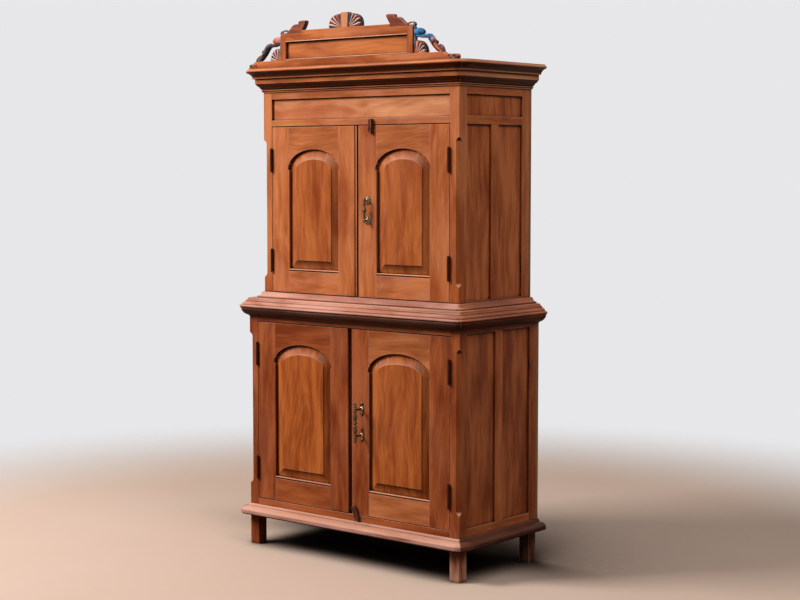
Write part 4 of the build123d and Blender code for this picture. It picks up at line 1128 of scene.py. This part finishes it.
class TRASTERO_OT_stage(bpy.types.Operator):
    """Set up the floor, the lamps, the background and the camera"""
    bl_idname = "trastero.stage"
    bl_label = "Stage"

    def execute(self, context):
        look = context.scene.trastero_stage
        self.floor(look)
        for name, (place, target) in LAMPS.items():
            self.lamp(name, getattr(look, f"{name}_power"), getattr(look, f"{name}_size"), place, target)
        self.world(context, look)
        self.camera(context, look)
        context.scene.view_settings.view_transform = "Standard"
        return {"FINISHED"}

    def floor(self, look):
        """A plain floor that fades into the backdrop, with a painted shadow under and behind the cabinet."""
        bm = bmesh.new()
        bmesh.ops.create_circle(bm, cap_ends=True, radius=30, segments=64)
        mesh = bpy.data.meshes.new("floor")
        bm.to_mesh(mesh)
        bm.free()
        obj = add_object("floor", mesh)
        made, tree, place = start_material("floor")
        cloud = tree.noise(place, 1.7, 4.0, 0.6)
        grain = tree.noise(place, 70.0, 3.0, 0.6)
        # Painted shadow: the floor darkens where the cabinet encloses it, under the case and behind it.
        behind = tree.ease(tree.parts(place)["Y"], -0.1, 0.25, 0.0, 0.92)
        lee = tree.times(tree.ease(tree.openness(1.1, 16), 0.95, 0.62), behind)
        colour = tree.layered(
            look.floor[:],
            (tree.ease(cloud, 0.3, 0.7, 0.0, 0.1), DUST),
            (tree.ease(grain, 0.3, 0.7, 0.06, 0.0), GRIT),
            (tree.ease(tree.openness(0.3, 16), 0.75, 0.2, 0.0, 0.97), look.floor_shadow[:]),
            (lee, look.floor_shadow[:]))
        seen = tree.seen()
        colour = tree.mix(seen, look.floor_bounce[:], colour)
        relief = tree.node("ShaderNodeBump", None, Strength=0.1, Distance=0.001, Height=grain)
        skin = tree.node("ShaderNodeBsdfPrincipled", None, Base_Color=colour, Roughness=0.75,
                         Normal=relief.outputs["Normal"], Specular_IOR_Level=0.0)
        far = tree.times(tree.ease(tree.vector("LENGTH", place), 1.7, 3.6), seen)
        both = tree.either(far, skin, tree.node("ShaderNodeBsdfTransparent"))
        tree.node("ShaderNodeOutputMaterial", None, Surface=both)
        mesh.materials.append(made)

    def lamp(self, name, power, size, place, target):
        """A large soft lamp at a place, aimed at a target."""
        data = bpy.data.lights.new(name, "AREA")
        data.shape = "SQUARE"
        data.size = size
        data.energy = power
        obj = add_object(name, data)
        obj.location = place
        obj.rotation_euler = (Vector(target) - obj.location).to_track_quat("-Z", "Y").to_euler()

    def world(self, context, look):
        """Light from overhead, weaker towards the horizon, and a pale backdrop where it is seen."""
        world = bpy.data.worlds.new("studio")
        world.use_nodes = True
        world.node_tree.nodes.clear()
        tree = Tree(world.node_tree)
        height = tree.parts(tree.at("Generated"))["Z"]
        strength = tree.ease(height, 0.0, 0.9, look.fill * look.horizon, look.fill)
        fill = tree.node("ShaderNodeBackground", None, Color=(0.95, 0.98, 1.0, 1), Strength=strength)
        pale = tree.node("ShaderNodeBackground", None, Color=look.backdrop[:], Strength=1.0)
        tree.node("ShaderNodeOutputWorld", None, Surface=tree.either(tree.seen(), fill, pale))
        context.scene.world = world

    def camera(self, context, look):
        """The camera, to the right of the cabinet and about eye height."""
        data = bpy.data.cameras.new("camera")
        data.lens = look.focal_length
        data.sensor_width = 36
        data.clip_end = 60
        obj = add_object("camera", data)
        obj.location = CAMERA_PLACE
        obj.rotation_euler = (math.radians(90 - CAMERA_DOWN), 0, math.radians(CAMERA_LEFT))
        context.scene.camera = obj


OPERATORS = (
    TRASTERO_OT_joinery, TRASTERO_OT_ironwork, TRASTERO_OT_shell, TRASTERO_OT_fans, TRASTERO_OT_ears,
    TRASTERO_OT_brackets, TRASTERO_OT_rail_ends, TRASTERO_OT_recess_beads, TRASTERO_OT_upper_handle,
    TRASTERO_OT_lower_handle, TRASTERO_OT_stage,
)


class TRASTERO_PT_sidebar(bpy.types.Panel):
    """Lists the trastero's parts and their settings"""
    bl_idname = "TRASTERO_PT_sidebar"
    bl_label = "Trastero"
    bl_space_type = "VIEW_3D"
    bl_region_type = "UI"
    bl_category = "Trastero"

    def draw(self, context):
        for operator in OPERATORS:
            self.layout.operator(operator.bl_idname, text=operator.bl_label)
        for name in SETTINGS:
            box = self.layout.box()
            box.label(text=name.removeprefix("trastero_").title())
            group = getattr(context.scene, name)
            for prop in group.bl_rna.properties:
                if prop.identifier not in ("rna_type", "name"):
                    box.prop(group, prop.identifier)


def register():
    """Register the settings, the operators and the panel."""
    for name, group in SETTINGS.items():
        bpy.utils.register_class(group)
        setattr(bpy.types.Scene, name, PointerProperty(type=group))
    for made in (*OPERATORS, TRASTERO_PT_sidebar):
        bpy.utils.register_class(made)


def unregister():
    """Take away what register added."""
    for made in (TRASTERO_PT_sidebar, *reversed(OPERATORS)):
        bpy.utils.unregister_class(made)
    for name, group in reversed(SETTINGS.items()):
        delattr(bpy.types.Scene, name)
        bpy.utils.unregister_class(group)


def main():
    register()
    for operator in OPERATORS:
        getattr(bpy.ops.trastero, operator.bl_idname.split(".")[1])()


if __name__ == "__main__":
    main()
